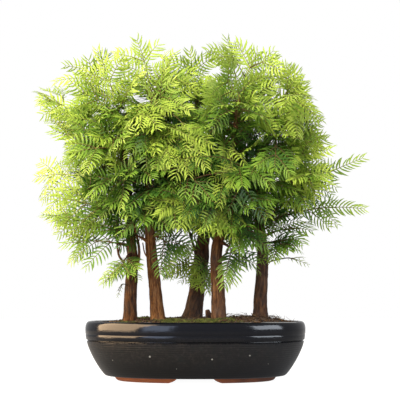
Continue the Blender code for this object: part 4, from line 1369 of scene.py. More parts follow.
print("youth in the middle:", round(youth_and_light_at(CANOPY_MIDDLE), 2))
print("youth at the top:", round(youth_and_light_at(CANOPY_MIDDLE + UP * CANOPY_HALF.z), 2))

# %% [markdown]
# A shoot carries its needles in two flat ranks, like a feather. It is easiest to draw the shoots alone, as
# chains of points, and let Geometry Nodes set the needles along them. Each chain carries which way its
# flat side faces, how long its needles are, how thick its stem is and how young it is, with painted light
# and shade in the same number.

# %% Shoots
NEEDLE_LENGTH = 21 * MM
CHAIN_STEP = 6 * MM
SIDE_STEM, STEM_TIP = 0.6 * MM, 0.3 * MM
YOUTH_GAIN, YOUTH_EVEN_AT = 0.7, 0.45


def fullness(share):
    """How long the needles are along a shoot: short at its foot, full soon after, shorter near the tip."""
    return min(1.0, 0.55 + 3.0 * share) * (1 - 0.42 * max(0.0, (share - 0.6) / 0.4) ** 1.5)


class Shoots:
    """The shoots of one tree as chains of points, each with what its points carry."""

    def __init__(self):
        self.points, self.edges = [], []
        self.planes, self.needles, self.stems, self.youth_and_light_values = [], [], [], []

    def add(self, path, plane, needle, stem, youth, bare=0.0):
        """Adds a chain of points, whose needles begin after the bare share of it."""
        first = len(self.points)
        last = len(path) - 1
        for i, point in enumerate(path):
            share = i / last
            along = (path[min(i + 1, last)] - path[max(i - 1, 0)]).normalized()
            self.points.append(point)
            self.planes.append(square_to(plane, along))
            self.needles.append(needle * fullness(share) if share >= bare else 0.0)
            self.stems.append(stem + (STEM_TIP - stem) * share)
            self.youth_and_light_values.append(min(1.0, max(0.0, youth + YOUTH_GAIN * (share - YOUTH_EVEN_AT))))
            if i:
                self.edges.append((first + i - 1, first + i))

    def mesh(self, name):
        mesh = bpy.data.meshes.new(name)
        mesh.from_pydata([tuple(p) for p in self.points], self.edges, [])
        set_attribute(mesh, "plane", self.planes, "FLOAT_VECTOR")
        for label, values in (("needle", self.needles), ("stem", self.stems), ("youth", self.youth_and_light_values)):
            set_attribute(mesh, label, values)
        return mesh


def chain(at, first, last):
    """Even points from first to last along a curve."""
    count = max(3, round((last - first) / CHAIN_STEP))
    return [at(first + (last - first) * i / count) for i in range(count + 1)]


print("the longest needles are", round(NEEDLE_LENGTH / MM), "mm long")

# %% [markdown]
# A spray is a long shoot with lesser shoots in pairs along it, all in about one plane, like the fingers of a
# hand. Nearly all leafy things on these trees are sprays: the fronds that the solids have, and the smaller
# ones that fill the crowns between them. So one function grows them all, along any curve. Its side shoots
# stay inside the edge of the crowns, unless the spray itself reaches past it.

# %% Sprays
SIDE_STEP, SIDE_ANGLE, SIDE_LONGEST = 30 * MM, math.radians(44), 80 * MM
SIDE_STEPS, SIDE_ANGLES, SIDE_LENGTHS = (0.85, 1.2), (-0.16, 0.16), (0.72, 1.05)
SIDE_LIFTS, SIDE_NEEDLES, SIDE_YOUTHS = (-0.25, 0.15), (0.82, 1.0), (-0.15, 0.15)
SIDE_FORWARD, SIDE_DROOP = 1.2, 6.5
SIDE_FIRST, SIDE_LAST, SIDE_SHORTER = 6 * MM, 0.60, 0.5
FEATHER_LAST, AXIS_BARE = 0.35, 0.75
LOOK_AHEAD = 3 * MM
SIDE_SKIPPED, EDGE_CLOSER = 0.18, 0.8
SIDE_TRIES = (1.0, 0.8, 0.6, 0.45)
SIDE_TILT = 0.75
NEEDLE_SHORTEST, NEEDLE_WITH_SIZE = 0.60, 0.44


def add_side_shoot(shoots, start, along, square, side, longest, needle, youth, free, draw):
    """One side shoot, arching forward and down, as long as the crowns have room for."""
    angle = SIDE_ANGLE + draw.uniform(*SIDE_ANGLES)
    across = along.cross(square) * side
    way = along * math.cos(angle) + across * math.sin(angle) + square * draw.uniform(*SIDE_LIFTS)
    way.normalize()

    def at(distance):
        return start + way * distance + (along * SIDE_FORWARD - UP * SIDE_DROOP) * distance ** 2

    plane = tilted(square, along, draw, SIDE_TILT)
    needle *= draw.uniform(*SIDE_NEEDLES)
    for tried in SIDE_TRIES:
        path = chain(at, 0.0, longest * tried)
        if in_box(path[-1]) and (free or in_canopy(path[-1])):
            shoots.add(path, plane, needle, SIDE_STEM, youth)
            return


def add_spray(shoots, at, first, last, plane, size, youth, stem, draw, clothed=SIDE_LAST):
    """A spray along the curve at, with side shoots in proportion to size over a share of its length."""
    axis = chain(at, first, last)
    free = not in_canopy(axis[-1])
    needle = NEEDLE_LENGTH * min(1.0, NEEDLE_SHORTEST + NEEDLE_WITH_SIZE * size)
    bare = AXIS_BARE * clothed if clothed > FEATHER_LAST else 0.0
    shoots.add(axis, plane, needle, stem, youth, bare)
    length, reached = last - first, SIDE_FIRST
    while reached < length * clothed:
        start = at(first + reached)
        along = (at(first + reached + LOOK_AHEAD) - start).normalized()
        square = square_to(plane, along)
        shorter = 1 - SIDE_SHORTER * reached / length
        for side in (-1, 1):
            longest = SIDE_LONGEST * size * shorter * draw.uniform(*SIDE_LENGTHS)
            own_youth_and_light = youth + draw.uniform(*SIDE_YOUTHS)
            if draw.random() > SIDE_SKIPPED:
                add_side_shoot(shoots, start, along, square, side, longest, needle, own_youth_and_light, free, draw)
        closer = EDGE_CLOSER if free else 1.0
        reached += SIDE_STEP * max(0.5, size) * draw.uniform(*SIDE_STEPS) * closer


print("side shoots are up to", round(SIDE_LONGEST / MM), "mm long")

# %% [markdown]
# Each frond of the solids is a spray along the end of its branch. Most are one layer. The low and the hanging
# ones are thick tufts, so they get two or three layers, each tilted against the last. Some get more youth and
# painted light than their place says and one gets less, and the two at the far right are like feathers, with
# side shoots only near the branch.

# %% Fronds
SMALLER = {"front_2": 0.6}
FULLER = {"hanging_3": 2, "low_right_2": 2, "low_right_4": 2, "tuft_1": 2, "tuft_5": 3, "low_left_2": 2,
          "hanging_right_4": 2, "front_left_4": 2, "front_hanging_4": 2, "left": 2}
# Youth and painted light added to some fronds, taken away from one.
YOUTH_AND_LIGHT_ADDED = {"left_bright": 0.8, "back_left_1": 0.1, "left_middle": 0.3, "left_high": 0.3, "front_1": 0.3,
           "front_high_2": 0.4, "front_2": 0.25, "front_upper_4": 0.3, "front_left_4": 0.6,
           "front_hanging_4": 0.6, "front_falling_4": 0.3, "right_middle_5": 0.55, "front_5": 0.35,
           "far_right_5": -0.25, "far_right_low_5": 0.0, "right_falling_5": 0.2, "fan_3": 0.75,
           "hanging_3": 0.6, "low_right_4": 0.15, "low_left": 0.25, "left": 0.3, "left_front": 0.3,
           "tuft_1": 0.3, "hanging_right_4": 0.1, "tuft_5": 0.1, "right_low_5": 0.15, "low_right_2": 0.15}
FEATHERS = ("far_right_5", "far_right_low_5")
LAYER_TILT = 1.0
AXIS_STEM = 1.1 * MM
TIP_BARE = 9 * MM
FROND_CLOTHED = 0.72


def add_frond(shoots, name, draw, plane_draw):
    """One frond of the solids, as one or more layers of spray."""
    points, lengths, woody = plans[name]
    begin = woody + (LEADER_GAP if is_leader(name) else GAP)

    def at(distance):
        return at_length(points, lengths, distance)

    end = lengths[-1] - TIP_BARE
    plane = leaf_plane(at((begin + end) / 2), (at(end) - at(begin)).normalized(), plane_draw)
    label = name.removeprefix("frond_")
    youth = youth_and_light_at(at(end)) + YOUTH_AND_LIGHT_ADDED.get(label, 0.0)
    clothed = FEATHER_LAST if label in FEATHERS else FROND_CLOTHED
    size = FRONDS[name][4] * SMALLER.get(label, 1.0)
    for _layer in range(FULLER.get(label, 1)):
        add_spray(shoots, at, begin, end, plane, size, youth, AXIS_STEM, draw, clothed)
        plane = tilted(plane, (at(end) - at(begin)).normalized(), draw, LAYER_TILT)


print(len(FULLER), "fronds have more than one layer")

# %% [markdown]
# In front of the middle hangs a cascade of long bright sprays, which the solids don't have. Each springs from
# a trunk behind, is bare at first and leafy over its last 88 millimetres. A row gives the tree, the height
# where it starts, the tip, the arch, the size and the youth, in which painted light is carried too.

# %% The cascade in front
CASCADE = (
    ("tree_2", 336, (15, -116, 250), 0.42, 0.52, 1.1),
    ("tree_2", 322, (-6, -112, 242), 0.40, 0.52, 1.2),
    ("tree_2", 312, (-27, -114, 254), 0.40, 0.50, 1.15),
    ("tree_2", 300, (-46, -114, 270), 0.36, 0.50, 1.1),
    ("tree_2", 350, (-66, -114, 300), 0.30, 0.50, 1.1),
    ("tree_4", 300, (28, -117, 204), 0.30, 0.34, 1.3),
    ("tree_4", 316, (42, -117, 226), 0.34, 0.34, 1.25),
    ("tree_4", 238, (-46, -115, 197), 0.26, 0.50, 1.35),
    ("tree_4", 230, (24, -115, 178), 0.24, 0.50, 1.35),
)
CASCADE_LEAFY = 88 * MM
TWIG_STEM, TWIG_OVERLAP = 0.75 * MM, 1 * MM


def add_twig(shoots, path, stem):
    """A bare stretch of stem, which has a needle length of 0."""
    first = len(shoots.points)
    shoots.add(path, UP, 0.0, stem, 0.0)
    for i in range(first, len(shoots.points)):
        shoots.stems[i] = stem


def add_cascade(shoots_of, draw):
    """Long arching sprays that hang in front of the middle, each a bare twig and then leaves."""
    for tree, height, tip, arch, size, youth in CASCADE:
        start, end = trunk_at(tree, height * MM), Vector(tip) * MM
        points = arched(start, (start + end) / 2 + UP * arch * (end - start).length, end)
        lengths = lengths_along(points)

        def at(distance):
            return at_length(points, lengths, distance)

        leafy = max(0.0, lengths[-1] - CASCADE_LEAFY)
        add_twig(shoots_of[tree], chain(at, 0.0, leafy + TWIG_OVERLAP), TWIG_STEM)
        along = (at(lengths[-1]) - at(leafy)).normalized()
        plane = leaf_plane(at(leafy), along, draw)
        add_spray(shoots_of[tree], at, leafy, lengths[-1] - TIP_BARE, plane, size, youth, TWIG_STEM, draw,
                  FROND_CLOTHED)


print(len(CASCADE), "sprays in the cascade")

# %% [markdown]
# Below the crowns only a few single sprigs grow, from the trunks and from thin twigs. A row gives the tree,
# the start, the tip, the length of its needles and its youth, with painted light in it.

# %% Sprigs below the crowns
SPRIGS = (
    ("tree_1", (-90, -50, 120), (-95, -59, 108), 5, 0.6),
    ("tree_1", (-84, -44, 142), (-102, -58, 147), 12, 0.3),
    ("tree_1", (-84, -44, 142), (-100, -58, 130), 12, 0.35),
    ("tree_1", (-84, -44, 140), (-70, -62, 129), 12, 0.3),
    ("tree_1", (-84, -44, 144), (-69, -60, 147), 12, 0.3),
    ("tree_2", (-38, -46, 136), (-30, -52, 130), 9, 0.1),
    ("tree_2", (-44, -42, 140), (-36, -50, 147), 9, 0.1),
    ("tree_3", (2, 28, 148), (-24, 8, 148), 14, 0.55),
    ("tree_3", (2, 28, 146), (-26, 4, 136), 14, 0.5),
    ("tree_3", (3, 26, 142), (-18, 0, 127), 13, 0.4),
    ("tree_3", (4, 26, 140), (-4, -2, 124), 12, 0.45),
    ("tree_4", (44, -50, 172), (50, -58, 158), 13, 0.3),
    ("tree_4", (40, -47, 162), (56, -56, 166), 13, 0.3),
    ("tree_5", (118, -14, 154), (142, -18, 149), 9, 0.9),
    ("tree_5", (122, -14, 153), (136, -22, 157), 8, 0.9),
    ("tree_5", (101, -12, 151), (110, -16, 156), 6, 0.3),
)
SPRIG_SAG, SPRIG_STEPS = 3 * MM, 4


def add_sprigs(shoots_of):
    """Single shoots that sag a little, with their upper side turned to the front."""
    for tree, start, tip, needle, youth in SPRIGS:
        straight = (Vector(tip) - Vector(start)) * MM
        shares = [step / SPRIG_STEPS for step in range(SPRIG_STEPS + 1)]
        path = [Vector(start) * MM + straight * share - UP * SPRIG_SAG * share ** 2 for share in shares]
        plane = square_to(UP - Vector((0, 0.7, 0)), straight.normalized())
        shoots_of[tree].add(path, plane, needle * MM, SIDE_STEM, youth)


print(len(SPRIGS), "sprigs")

# %% [markdown]
# Lesser branches grow all the way up each trunk, each turned by the golden angle from the last, as buds on a
# stem are. Low ones reach out flat and high ones rise. They are thin, bare near the trunk, and end in a
# spray. Each tries its full length first and then shorter ones, until its end lies inside the crowns.

# %% Lesser branches
FILL_LOWEST, FILL_STEP = 216 * MM, 5.0 * MM
FILL_LONG, FILL_SHORT, FILL_SIZE = 112 * MM, 66 * MM, 0.8
FILL_TRIES = (1.0, 0.8, 0.62, 0.46)
FILL_TURNS, FILL_RISES, FILL_RISE_AT_TOP = (-0.3, 0.3), (-0.1, 0.25), 1.1
FILL_LENGTHS, FILL_STEPS = (0.75, 1.0), (0.7, 1.3)
FILL_DROOP, FILL_BARE = 3.6, 0.30


def add_lesser_branch(shoots, start, way, longest, size, draw):
    """A thin branch with a spray at its end, as long as the crowns have room for."""
    for tried in FILL_TRIES:
        length = longest * tried

        def at(distance):
            return start + way * distance - UP * FILL_DROOP * distance ** 2

        if in_canopy(at(length)):
            break
    else:
        return
    bare = length * FILL_BARE
    add_twig(shoots, chain(at, 0.0, bare + TWIG_OVERLAP), TWIG_STEM)
    front = -1.0 if start.y + way.y * length < BACK_BEGINS else 1.0
    rise = draw.uniform(0.3, 1.1)
    outward = Vector((draw.uniform(-0.5, 0.5), front * draw.uniform(0.2, 1.1), 0))
    plane = square_to(UP * rise + outward, way)
    add_spray(shoots, at, bare, length, plane, size, youth_and_light_at(at(length)), TWIG_STEM, draw)


def fill_trunk(shoots, tree, draw):
    """Lesser branches all the way up one trunk."""
    top = trunk_path(tree)[-1].z
    height, turn = FILL_LOWEST, draw.uniform(0, 2 * math.pi)
    while height < top:
        share = (height - FILL_LOWEST) / (top - FILL_LOWEST)
        turn += GOLDEN_ANGLE + draw.uniform(*FILL_TURNS)
        rise = draw.uniform(*FILL_RISES) + FILL_RISE_AT_TOP * share ** 1.5
        way = Vector((math.cos(turn), math.sin(turn), rise)).normalized()
        longest = (FILL_LONG + (FILL_SHORT - FILL_LONG) * share) * draw.uniform(*FILL_LENGTHS)
        add_lesser_branch(shoots, trunk_at(tree, height), way, longest, FILL_SIZE, draw)
        height += FILL_STEP * draw.uniform(*FILL_STEPS)


print("a lesser branch grows every", round(FILL_STEP / MM), "mm up a trunk")

# %% [markdown]
# Close to the trunk the lesser branches are bare, and a trunk would show through. On the real trees short
# shoots spring straight from it and clothe it. They are single chains, since so near the trunk there is no
# light for more.

# %% Shoots that clothe the trunks
CLOTHED_FROM, CLOTHED_STEP, CLOTHED_LENGTH = 214 * MM, 4.0 * MM, (36 * MM, 72 * MM)
CLOTHED_DROOP = 6.0


def clothe_trunk(shoots, tree, draw):
    """Single short shoots straight from the trunk, each rising and then hanging over."""
    top = trunk_path(tree)[-1].z
    height, turn = CLOTHED_FROM, draw.uniform(0, 2 * math.pi)
    while height < top:
        turn += GOLDEN_ANGLE
        way = Vector((math.cos(turn), math.sin(turn), draw.uniform(0.1, 0.9))).normalized()
        start = trunk_at(tree, height)

        def at(distance):
            return start + way * distance - UP * CLOTHED_DROOP * distance ** 2

        length = draw.uniform(*CLOTHED_LENGTH)
        plane = square_to(UP + way * 0.3, way)
        path = chain(at, trunk_radius(tree, height), length)
        needle = NEEDLE_LENGTH * draw.uniform(0.75, 0.95)
        shoots.add(path, plane, needle, SIDE_STEM, youth_and_light_at(at(length)))
        height += CLOTHED_STEP * draw.uniform(0.8, 1.2)


print("the lowest of these shoots is", round(CLOTHED_FROM / MM), "mm up")

# %% [markdown]
# The larger branches carry short sprays too, over their wood, and on the wide fronds some way out along the
# leafy part. They are turned by the golden angle from one to the next and lean forward with the branch.

# %% Sprays along the branches
INNER_FIRST, INNER_STEP, INNER_SHORT, INNER_LONG = 16 * MM, 14 * MM, 34 * MM, 60 * MM
INNER_LAST, INNER_FROM_SPREAD, INNER_SIZE = 0.6, 0.55, 0.55


def fill_branch(shoots, name, draw):
    """Short sprays along the branch that carries a frond."""
    points, lengths, woody = plans[name]
    reached, turn = INNER_FIRST, draw.uniform(0, 2 * math.pi)
    last = woody + INNER_LAST * (lengths[-1] - woody) if FRONDS[name][4] > INNER_FROM_SPREAD else woody
    while reached < last:
        start = at_length(points, lengths, reached)
        along = (at_length(points, lengths, reached + LOOK_AHEAD) - start).normalized()
        turn += GOLDEN_ANGLE
        over = along.orthogonal().normalized()
        out = over * math.cos(turn) + along.cross(over) * math.sin(turn)
        way = (out + along * 0.8 + UP * 0.15).normalized()
        add_lesser_branch(shoots, start, way, draw.uniform(INNER_SHORT, INNER_LONG), INNER_SIZE, draw)
        reached += INNER_STEP * draw.uniform(0.8, 1.2)


wide = [name for name in FRONDS if FRONDS[name][4] > INNER_FROM_SPREAD]
print(len(wide), "fronds are wide enough for sprays in their leafy part")

# %% [markdown]
# A needle is a narrow blade with a keel, bent forward and a little down. Needles sit opposite each other, so
# the unit that repeats is a pair. Towards the tip of a shoot the pairs lean forward more and more, which
# makes its plume, so several pairs are modelled with rising lean, and the place along the shoot picks one.

# %% A pair of needles
PAIR_KINDS = 6
LEAN_AT_ROOT, LEAN_AT_TIP = math.radians(26), math.radians(58)
NEEDLE_STATIONS = ((0.0, 0.45), (0.32, 1.0), (0.70, 0.82))
NEEDLE_HALF_WIDTH, NEEDLE_KEEL = 0.070, 0.026
NEEDLE_CURL, NEEDLE_SAG = 0.62, 0.24


def needle_line(lean, share):
    """The middle of a needle of length 1, as how far it is across, along and up."""
    turn = lean - NEEDLE_CURL / 2 + NEEDLE_CURL * share / 2
    return Vector((math.cos(turn) * share, math.sin(turn) * share, -NEEDLE_SAG * share ** 2))


def pair_mesh(name, lean):
    points, faces, tipward = [], [], []
    for side in (1, -1):
        first = len(points)
        for share, width in NEEDLE_STATIONS:
            middle = needle_line(lean, share)
            ahead = needle_line(lean, share + 0.05) - middle
            across = Vector((ahead.y, -ahead.x, 0)).normalized() * NEEDLE_HALF_WIDTH * width
            for corner in (middle + across, middle - across, middle - UP * NEEDLE_KEEL * width):
                points.append(Vector((corner.x * side, corner.y, corner.z)))
                tipward.append(share)
        tip = needle_line(lean, 1.0)
        points.append(Vector((tip.x * side, tip.y, tip.z)))
        tipward.append(1.0)
        last = first + 3 * (len(NEEDLE_STATIONS) - 1)
        own = [(first, first + 1, first + 2)]
        for low in range(first, last, 3):
            for i in range(3):
                j = (i + 1) % 3
                own += [(low + i, low + 3 + i, low + 3 + j), (low + i, low + 3 + j, low + j)]
        own += [(last + i, len(points) - 1, last + (i + 1) % 3) for i in range(3)]
        faces += own if side > 0 else [face[::-1] for face in own]
    mesh = new_mesh(name, points, faces, smooth=False)
    set_attribute(mesh, "tipward", tipward)
    return mesh


pairs = bpy.data.collections.new("needle_pairs")
bpy.context.scene.collection.children.link(pairs)
for kind in range(PAIR_KINDS):
    lean = LEAN_AT_ROOT + (LEAN_AT_TIP - LEAN_AT_ROOT) * (kind / (PAIR_KINDS - 1)) ** 1.6
    pairs.objects.link(bpy.data.objects.new(f"pair_{kind}", pair_mesh(f"pair_{kind}", lean)))

# %% [markdown]
# The tree that sets the needles turns each chain into a curve, marks even stations along it and puts a pair
# at each, turned so that it lies in the shoot's plane. A random tilt and size keep the ranks from looking
# stamped. The same curve swept with a small circle is the stem.

# %% Needles along the shoots
PAIR_SPACING = 4.3 * MM
PAIR_TILT, PAIR_SIZE_LOW, PAIR_SIZE_HIGH = 0.16, 0.86, 1.1
STEM_SIDES = 3


def needle_tree():
    inputs = {**STREWN, "Spacing": "Float", "Kinds": "Int", "Tilt": "Float", "Stem Sides": "Int"}
    tree, graph, given = new_tree("needled_shoots", inputs)

    def named(label, kind="FLOAT"):
        return graph.node("GeometryNodeInputNamedAttribute", {"data_type": kind}, {"Name": label})

    curve = graph.node("GeometryNodeMeshToCurve", {}, {"Mesh": given.out("Geometry")})
    stations = graph.node("GeometryNodeResampleCurve", {"mode": "LENGTH"},
                          {"Curve": curve, "Length": given.out("Spacing")})
    share = graph.node("GeometryNodeSplineParameter").out("Factor")
    facing = graph.node("FunctionNodeAxesToRotation", {"primary_axis": "Y", "secondary_axis": "Z"},
                        {"Primary Axis": graph.node("GeometryNodeInputTangent"),
                         "Secondary Axis": named("plane", "FLOAT_VECTOR")})
    has_needles = graph.math("GREATER_THAN", named("needle"), 0.001)
    kind = (share * given.out("Kinds") * 0.999).floor()
    placed = set_things(graph, given, stations, facing, [given.out("Tilt")] * 3,
                        {"Selection": has_needles, "Instance Index": kind, "Size": named("needle")})
    circle = graph.node("GeometryNodeCurvePrimitiveCircle", {},
                        {"Resolution": given.out("Stem Sides"), "Radius": 1.0})
    stems = graph.node("GeometryNodeCurveToMesh", {}, {"Curve": curve, "Profile Curve": circle,
                                                       "Scale": named("stem"), "Fill Caps": True})
    stems = graph.node("GeometryNodeStoreNamedAttribute", {"data_type": "FLOAT", "domain": "POINT"},
                       {"Geometry": stems, "Name": "on_stem", "Value": 1.0})
    both = graph.node("GeometryNodeJoinGeometry", {}, {"Geometry": [placed, stems]})
    end_tree(graph, both, given.out("Material"))
    return tree


needles_on = needle_tree()
print("the needle tree has", len(needles_on.nodes), "nodes")

# %% [markdown]
# Young needles are lime and let much light through, and older ones inside are deep green, darker still by
# painted shade. The shader mixes a Principled surface with a translucent one, so a needle lit from behind
# glows, and blends its colour between three greens by the youth and painted light that each shoot carries,
# with the tip of each needle a little lighter.
# The light that comes through runs through the same greens, but as a mix of shaders of one colour each, so
# that only the factors of the mixes change from needle to needle.

# %% Needle finish
DEEP_GREEN, LEAF_GREEN, LIME = (0.050, 0.145, 0.016), (0.22, 0.395, 0.032), (0.52, 0.665, 0.080)
YOUNG_STEM, OLD_STEM = (0.42, 0.44, 0.10), (0.16, 0.075, 0.03)
GREEN_AT, LIME_AT = 0.42, 0.95
LIGHT_THROUGH, NEEDLE_GLOSS = 0.30, 0.3


def light_through(graph, age_and_light, stem):
    """What the light behind a needle or its stem adds, in the same colours as its surface."""
    deep, green, lime, old, young = [graph.node("ShaderNodeBsdfTranslucent", {}, {"Color": colour})
                                     for colour in (DEEP_GREEN, LEAF_GREEN, LIME, OLD_STEM, YOUNG_STEM)]
    needle = graph.mix_shaders((age_and_light * (1 / GREEN_AT)).clamped(), deep, green)
    needle = graph.mix_shaders(((age_and_light - GREEN_AT) * (1 / (LIME_AT - GREEN_AT))).clamped(), needle, lime)
    return graph.mix_shaders(stem, needle, graph.mix_shaders(age_and_light, old, young))


def needle_finish(graph):
    youth = graph.attribute("youth")
    tipward = graph.attribute("tipward")
    stem = graph.attribute("on_stem")
    patchy = graph.noise(graph.place(), 38.0, 3.0)
    # The age mixes youth with painted light and shade, which the shoots carry together.
    age_and_light = (youth + (patchy - 0.5) * 0.55 + (tipward - 0.4) * 0.16).clamped()
    colour = graph.colours(age_and_light, (0.0, DEEP_GREEN), (GREEN_AT, LEAF_GREEN), (LIME_AT, LIME))
    bark = graph.mix(age_and_light, OLD_STEM, YOUNG_STEM)
    colour = graph.mix(stem, colour, bark)
    surface = principled(graph, colour, 0.42 + patchy * 0.2, {"Specular IOR Level": NEEDLE_GLOSS})
    return graph.mix_shaders(LIGHT_THROUGH, surface, light_through(graph, age_and_light, stem))


needle_material = new_material("redwood_needles", needle_finish)

# %% [markdown]
# All shoots of a tree are collected first and get their needles in one go, so that each tree's foliage is one
# piece. It stands in for all the fronds of that tree. Nearly all random numbers are seeded by the name of
# the frond or trunk, so that a change to one doesn't move the others.

# %% Foliage of each tree
plane_draw = random.Random(SEED)
shoots_of = {tree: Shoots() for tree in TREES}
for name, (tree, *_rest) in FRONDS.items():
    add_frond(shoots_of[tree], name, random.Random(name), plane_draw)
    if not is_leader(name):
        fill_branch(shoots_of[tree], name, random.Random(name + "_inner"))
add_cascade(shoots_of, random.Random(SEED))
add_sprigs(shoots_of)
for tree in TREES:
    fill_trunk(shoots_of[tree], tree, random.Random(tree))
    clothe_trunk(shoots_of[tree], tree, random.Random(tree + "_clothes"))

for number, tree in enumerate(TREES):
    name = f"needles_{tree}"
    values = {"Things": pairs, "Spacing": PAIR_SPACING, "Kinds": PAIR_KINDS, "Tilt": PAIR_TILT,
              "Smallest": PAIR_SIZE_LOW, "Largest": PAIR_SIZE_HIGH, "Stem Sides": STEM_SIDES,
              "Seed": number, "Material": needle_material}
    foliage = grown(name, shoots_of[tree].mesh(name), needles_on, values)
    enter(foliage, "young_needles", *[frond for frond in FRONDS if FRONDS[frond][0] == tree])

drop(pairs)

# %% [markdown]
# The branches are tubes along the same curves as the fronds they carry, thicker where they leave the trunk.
# Thin bare twigs and a stump stand low down between the trunks. A twig's row gives its points and its radius
# at both ends, in millimetres.

# %% Branches and twigs
BRANCH_AROUND, BRANCH_RINGS, BRANCH_RELIEF = 9, 14, 0.12 * MM
BRANCH_INTO_LEAVES = 1.5 * MM
COLLAR_SHARE, COLLAR_LENGTH = 0.5, 7 * MM
TWIG_AROUND, TWIG_RINGS, TWIG_RELIEF = 7, 12, 0.1 * MM
TWIGS = {
    "tree_1": (
        ((-80, -36, 128), (-73, -41, 142), (-70, -42, 160), (-74, -40, 184), (-82, -37, 214), 2.3, 1.3),
        ((-81, -36, 138), (-91, -40, 149), (-96, -41, 158), (-98, -40, 174), (-101, -38, 196), 1.7, 1.0),
        ((-96, -41, 157), (-93, -39, 170), (-86, -36, 177), (-82, -34, 188), 0.9, 0.7),
        ((-82, -40, 118), (-90, -50, 120), (-95, -55, 112), 0.6, 0.4)),
    "tree_2": (
        ((-53, -36, 132), (-44, -42, 140), (-38, -46, 136), 0.7, 0.5),
        ((-56, -33, 150), (-63, -36, 158), (-66, -38, 172), 1.0, 0.7)),
    "tree_3": (
        ((2, 34, 150), (-2, 29, 169), (-9, 25, 192), (-14, 22, 212), 2.1, 1.2),
        ((5, 34, 134), (15, 26, 150), (15, 23, 178), (12, 24, 204), 2.6, 1.5),
        ((19, 6, 70), (18, 3, 78), (16, -1, 84), (15, -2, 88), 6.0, 2.6)),
    "tree_4": (
        ((28, -38, 150), (38, -46, 158), (44, -50, 172), 1.2, 0.8),),
    "tree_5": (
        ((86, -6, 146), (101, -12, 151), (118, -14, 154), (130, -15, 151), 1.0, 0.6),
        ((84, -3, 190), (96, -10, 196), (99, -12, 212), 1.6, 1.0)),
}


def add_branch(wood, name):
    """The woody part of the branch that carries a frond."""
    points, lengths, woody = plans[name]
    ends = woody + BRANCH_INTO_LEAVES
    middles = [at_length(points, lengths, ends * i / BRANCH_RINGS) for i in range(BRANCH_RINGS + 1)]

    def radius_at(index, _turn):
        share = index / BRANCH_RINGS
        collar = 1 + COLLAR_SHARE * math.exp(-ends * share / COLLAR_LENGTH)
        return (BRANCH_RADIUS + (BRANCH_END_RADIUS - BRANCH_RADIUS) * share) * collar

    wood.tube(middles, radius_at, BRANCH_AROUND, BRANCH_RELIEF)


def add_bare_twig(wood, twig):
    *route, thick, thin = twig
    path = [Vector(point) * MM for point in route]
    middles = [smooth_point(path, (len(path) - 1) * i / TWIG_RINGS) for i in range(TWIG_RINGS + 1)]

    def radius_at(index, _turn):
        return (thick + (thin - thick) * index / TWIG_RINGS) * MM

    wood.tube(middles, radius_at, TWIG_AROUND, TWIG_RELIEF)


print(sum(len(twigs) for twigs in TWIGS.values()), "bare twigs")

# %% [markdown]
# Bark is red-brown where it has just peeled and grey where it is old. Two stretched noises give its fine
# strips and its broader plates, and both the colour and the relief follow them. Two numbers for each tree
# say how grey and how pale it is.

# %% Bark finish


def bark_finish(graph):
    place = graph.attribute("bark", "Vector")
    greyness = graph.attribute("greyness")
    strips = graph.noise(graph.stretched(place, (1.0, 1.0, 0.09)), 620.0, 4.0, 0.65)
    plates = graph.noise(graph.stretched(place, (1.0, 1.0, 0.24)), 320.0, 4.0, 0.6)
    patches = graph.noise(place, 60.0, 3.0)
    shade = (strips * 0.5 + plates * 0.5 - 0.5) * 1.5 + 0.5 + graph.attribute("paleness")
    colour = graph.colours(shade, (0.25, (0.006, 0.003, 0.001)), (0.44, (0.050, 0.018, 0.006)),
                           (0.60, (0.165, 0.058, 0.015)), (0.80, (0.42, 0.19, 0.060)))
    worn = (greyness + (patches - 0.5) * 2.4).clamped()
    grey = graph.mix(shade, (0.012, 0.008, 0.006), (0.12, 0.085, 0.070))
    colour = graph.mix(worn * 0.8, colour, grey)
    relief = strips * 0.7 + plates * 0.8
    more = {"Specular IOR Level": 0.15, "Normal": graph.bump(relief, 0.0016, 1.0)}
    return principled(graph, colour, 0.82 + (strips - 0.5) * 0.2, more)


bark_material = new_material("redwood_bark", bark_finish)

# %% [markdown]
# Each tree's trunk, branches and twigs become one piece, which stands in for the solid tree. How grey and how
# pale the bark is goes into attributes, so that all five share one finish.

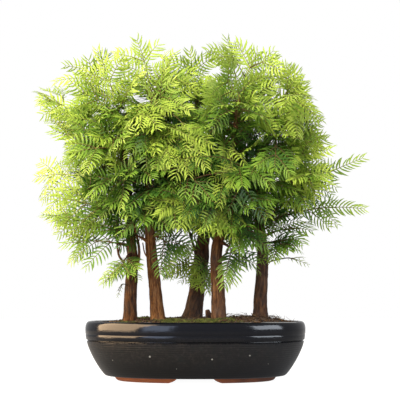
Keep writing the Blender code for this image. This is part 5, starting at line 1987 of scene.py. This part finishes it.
# %% Wood of each tree
GREYNESS = {"tree_1": 0.15, "tree_2": 0.3, "tree_3": 0.75, "tree_4": 0.35, "tree_5": 0.75}
PALENESS = {"tree_1": 0.02, "tree_2": 0.14, "tree_3": 0.03, "tree_4": 0.10, "tree_5": 0.05}
for number, tree in enumerate(TREES):
    wood = Wood(seed=3.1 * number)
    add_trunk(wood, tree)
    for name in FRONDS:
        if FRONDS[name][0] == tree and not is_leader(name):
            add_branch(wood, name)
    for twig in TWIGS[tree]:
        add_bare_twig(wood, twig)
    piece = add_piece(f"wood_{tree}", wood.mesh(f"wood_{tree}"))
    for label, tones in (("greyness", GREYNESS), ("paleness", PALENESS)):
        set_attribute(piece.data, label, [tones[tree]] * len(piece.data.vertices))
    piece.data.materials.append(bark_material)
    enter(piece, "bark", tree)

# %% [markdown]
# The planting stands on a plain white table that runs on behind it, as in a studio, so that nothing but the
# object has colour. The table isn't part of the object.

# %% Floor
FLOOR_HALF = 4.0
ROOM_LIGHT, WHITE_SEEN = 0.55, 1.0
PAPER_SEEN, PAPER_GLOW = 0.97, 0.30


def paper(graph):
    fibres = graph.noise(graph.place(), 220.0, 3.0)
    colour = graph.mix(fibres, (0.14, 0.14, 0.138), (0.16, 0.16, 0.158))
    glow = {"Emission Color": (1.0, 1.0, 1.0)}
    shades = [principled(graph, colour, 0.9, {**glow, "Emission Strength": strength})
              for strength in (PAPER_GLOW, PAPER_SEEN)]
    seen = graph.node("ShaderNodeLightPath").out("Is Camera Ray")
    return graph.mix_shaders(seen, *shades)


def white_room():
    """A world that lights softly but is pure white where the camera sees it."""
    world = bpy.data.worlds.new("studio")
    bpy.context.scene.world = world
    world.use_nodes = True
    graph = Graph(world.node_tree)
    seen = graph.node("ShaderNodeLightPath").out("Is Camera Ray")
    background = world.node_tree.nodes["Background"]
    background.inputs["Color"].default_value = (1.0, 1.0, 1.0, 1.0)
    graph.feed(background.inputs["Strength"], ROOM_LIGHT + seen * (WHITE_SEEN - ROOM_LIGHT))


white_room()
corners = [(x * FLOOR_HALF, y * FLOOR_HALF, 0) for x, y in ((-1, -1), (1, -1), (1, 1), (-1, 1))]
floor = add_piece("floor", new_mesh("floor", corners, [(0, 1, 2, 3)], smooth=False))
floor.data.materials.append(new_material("white_paper", paper))
print("the floor is", round(2 * FLOOR_HALF), "m square")

# %% [markdown]
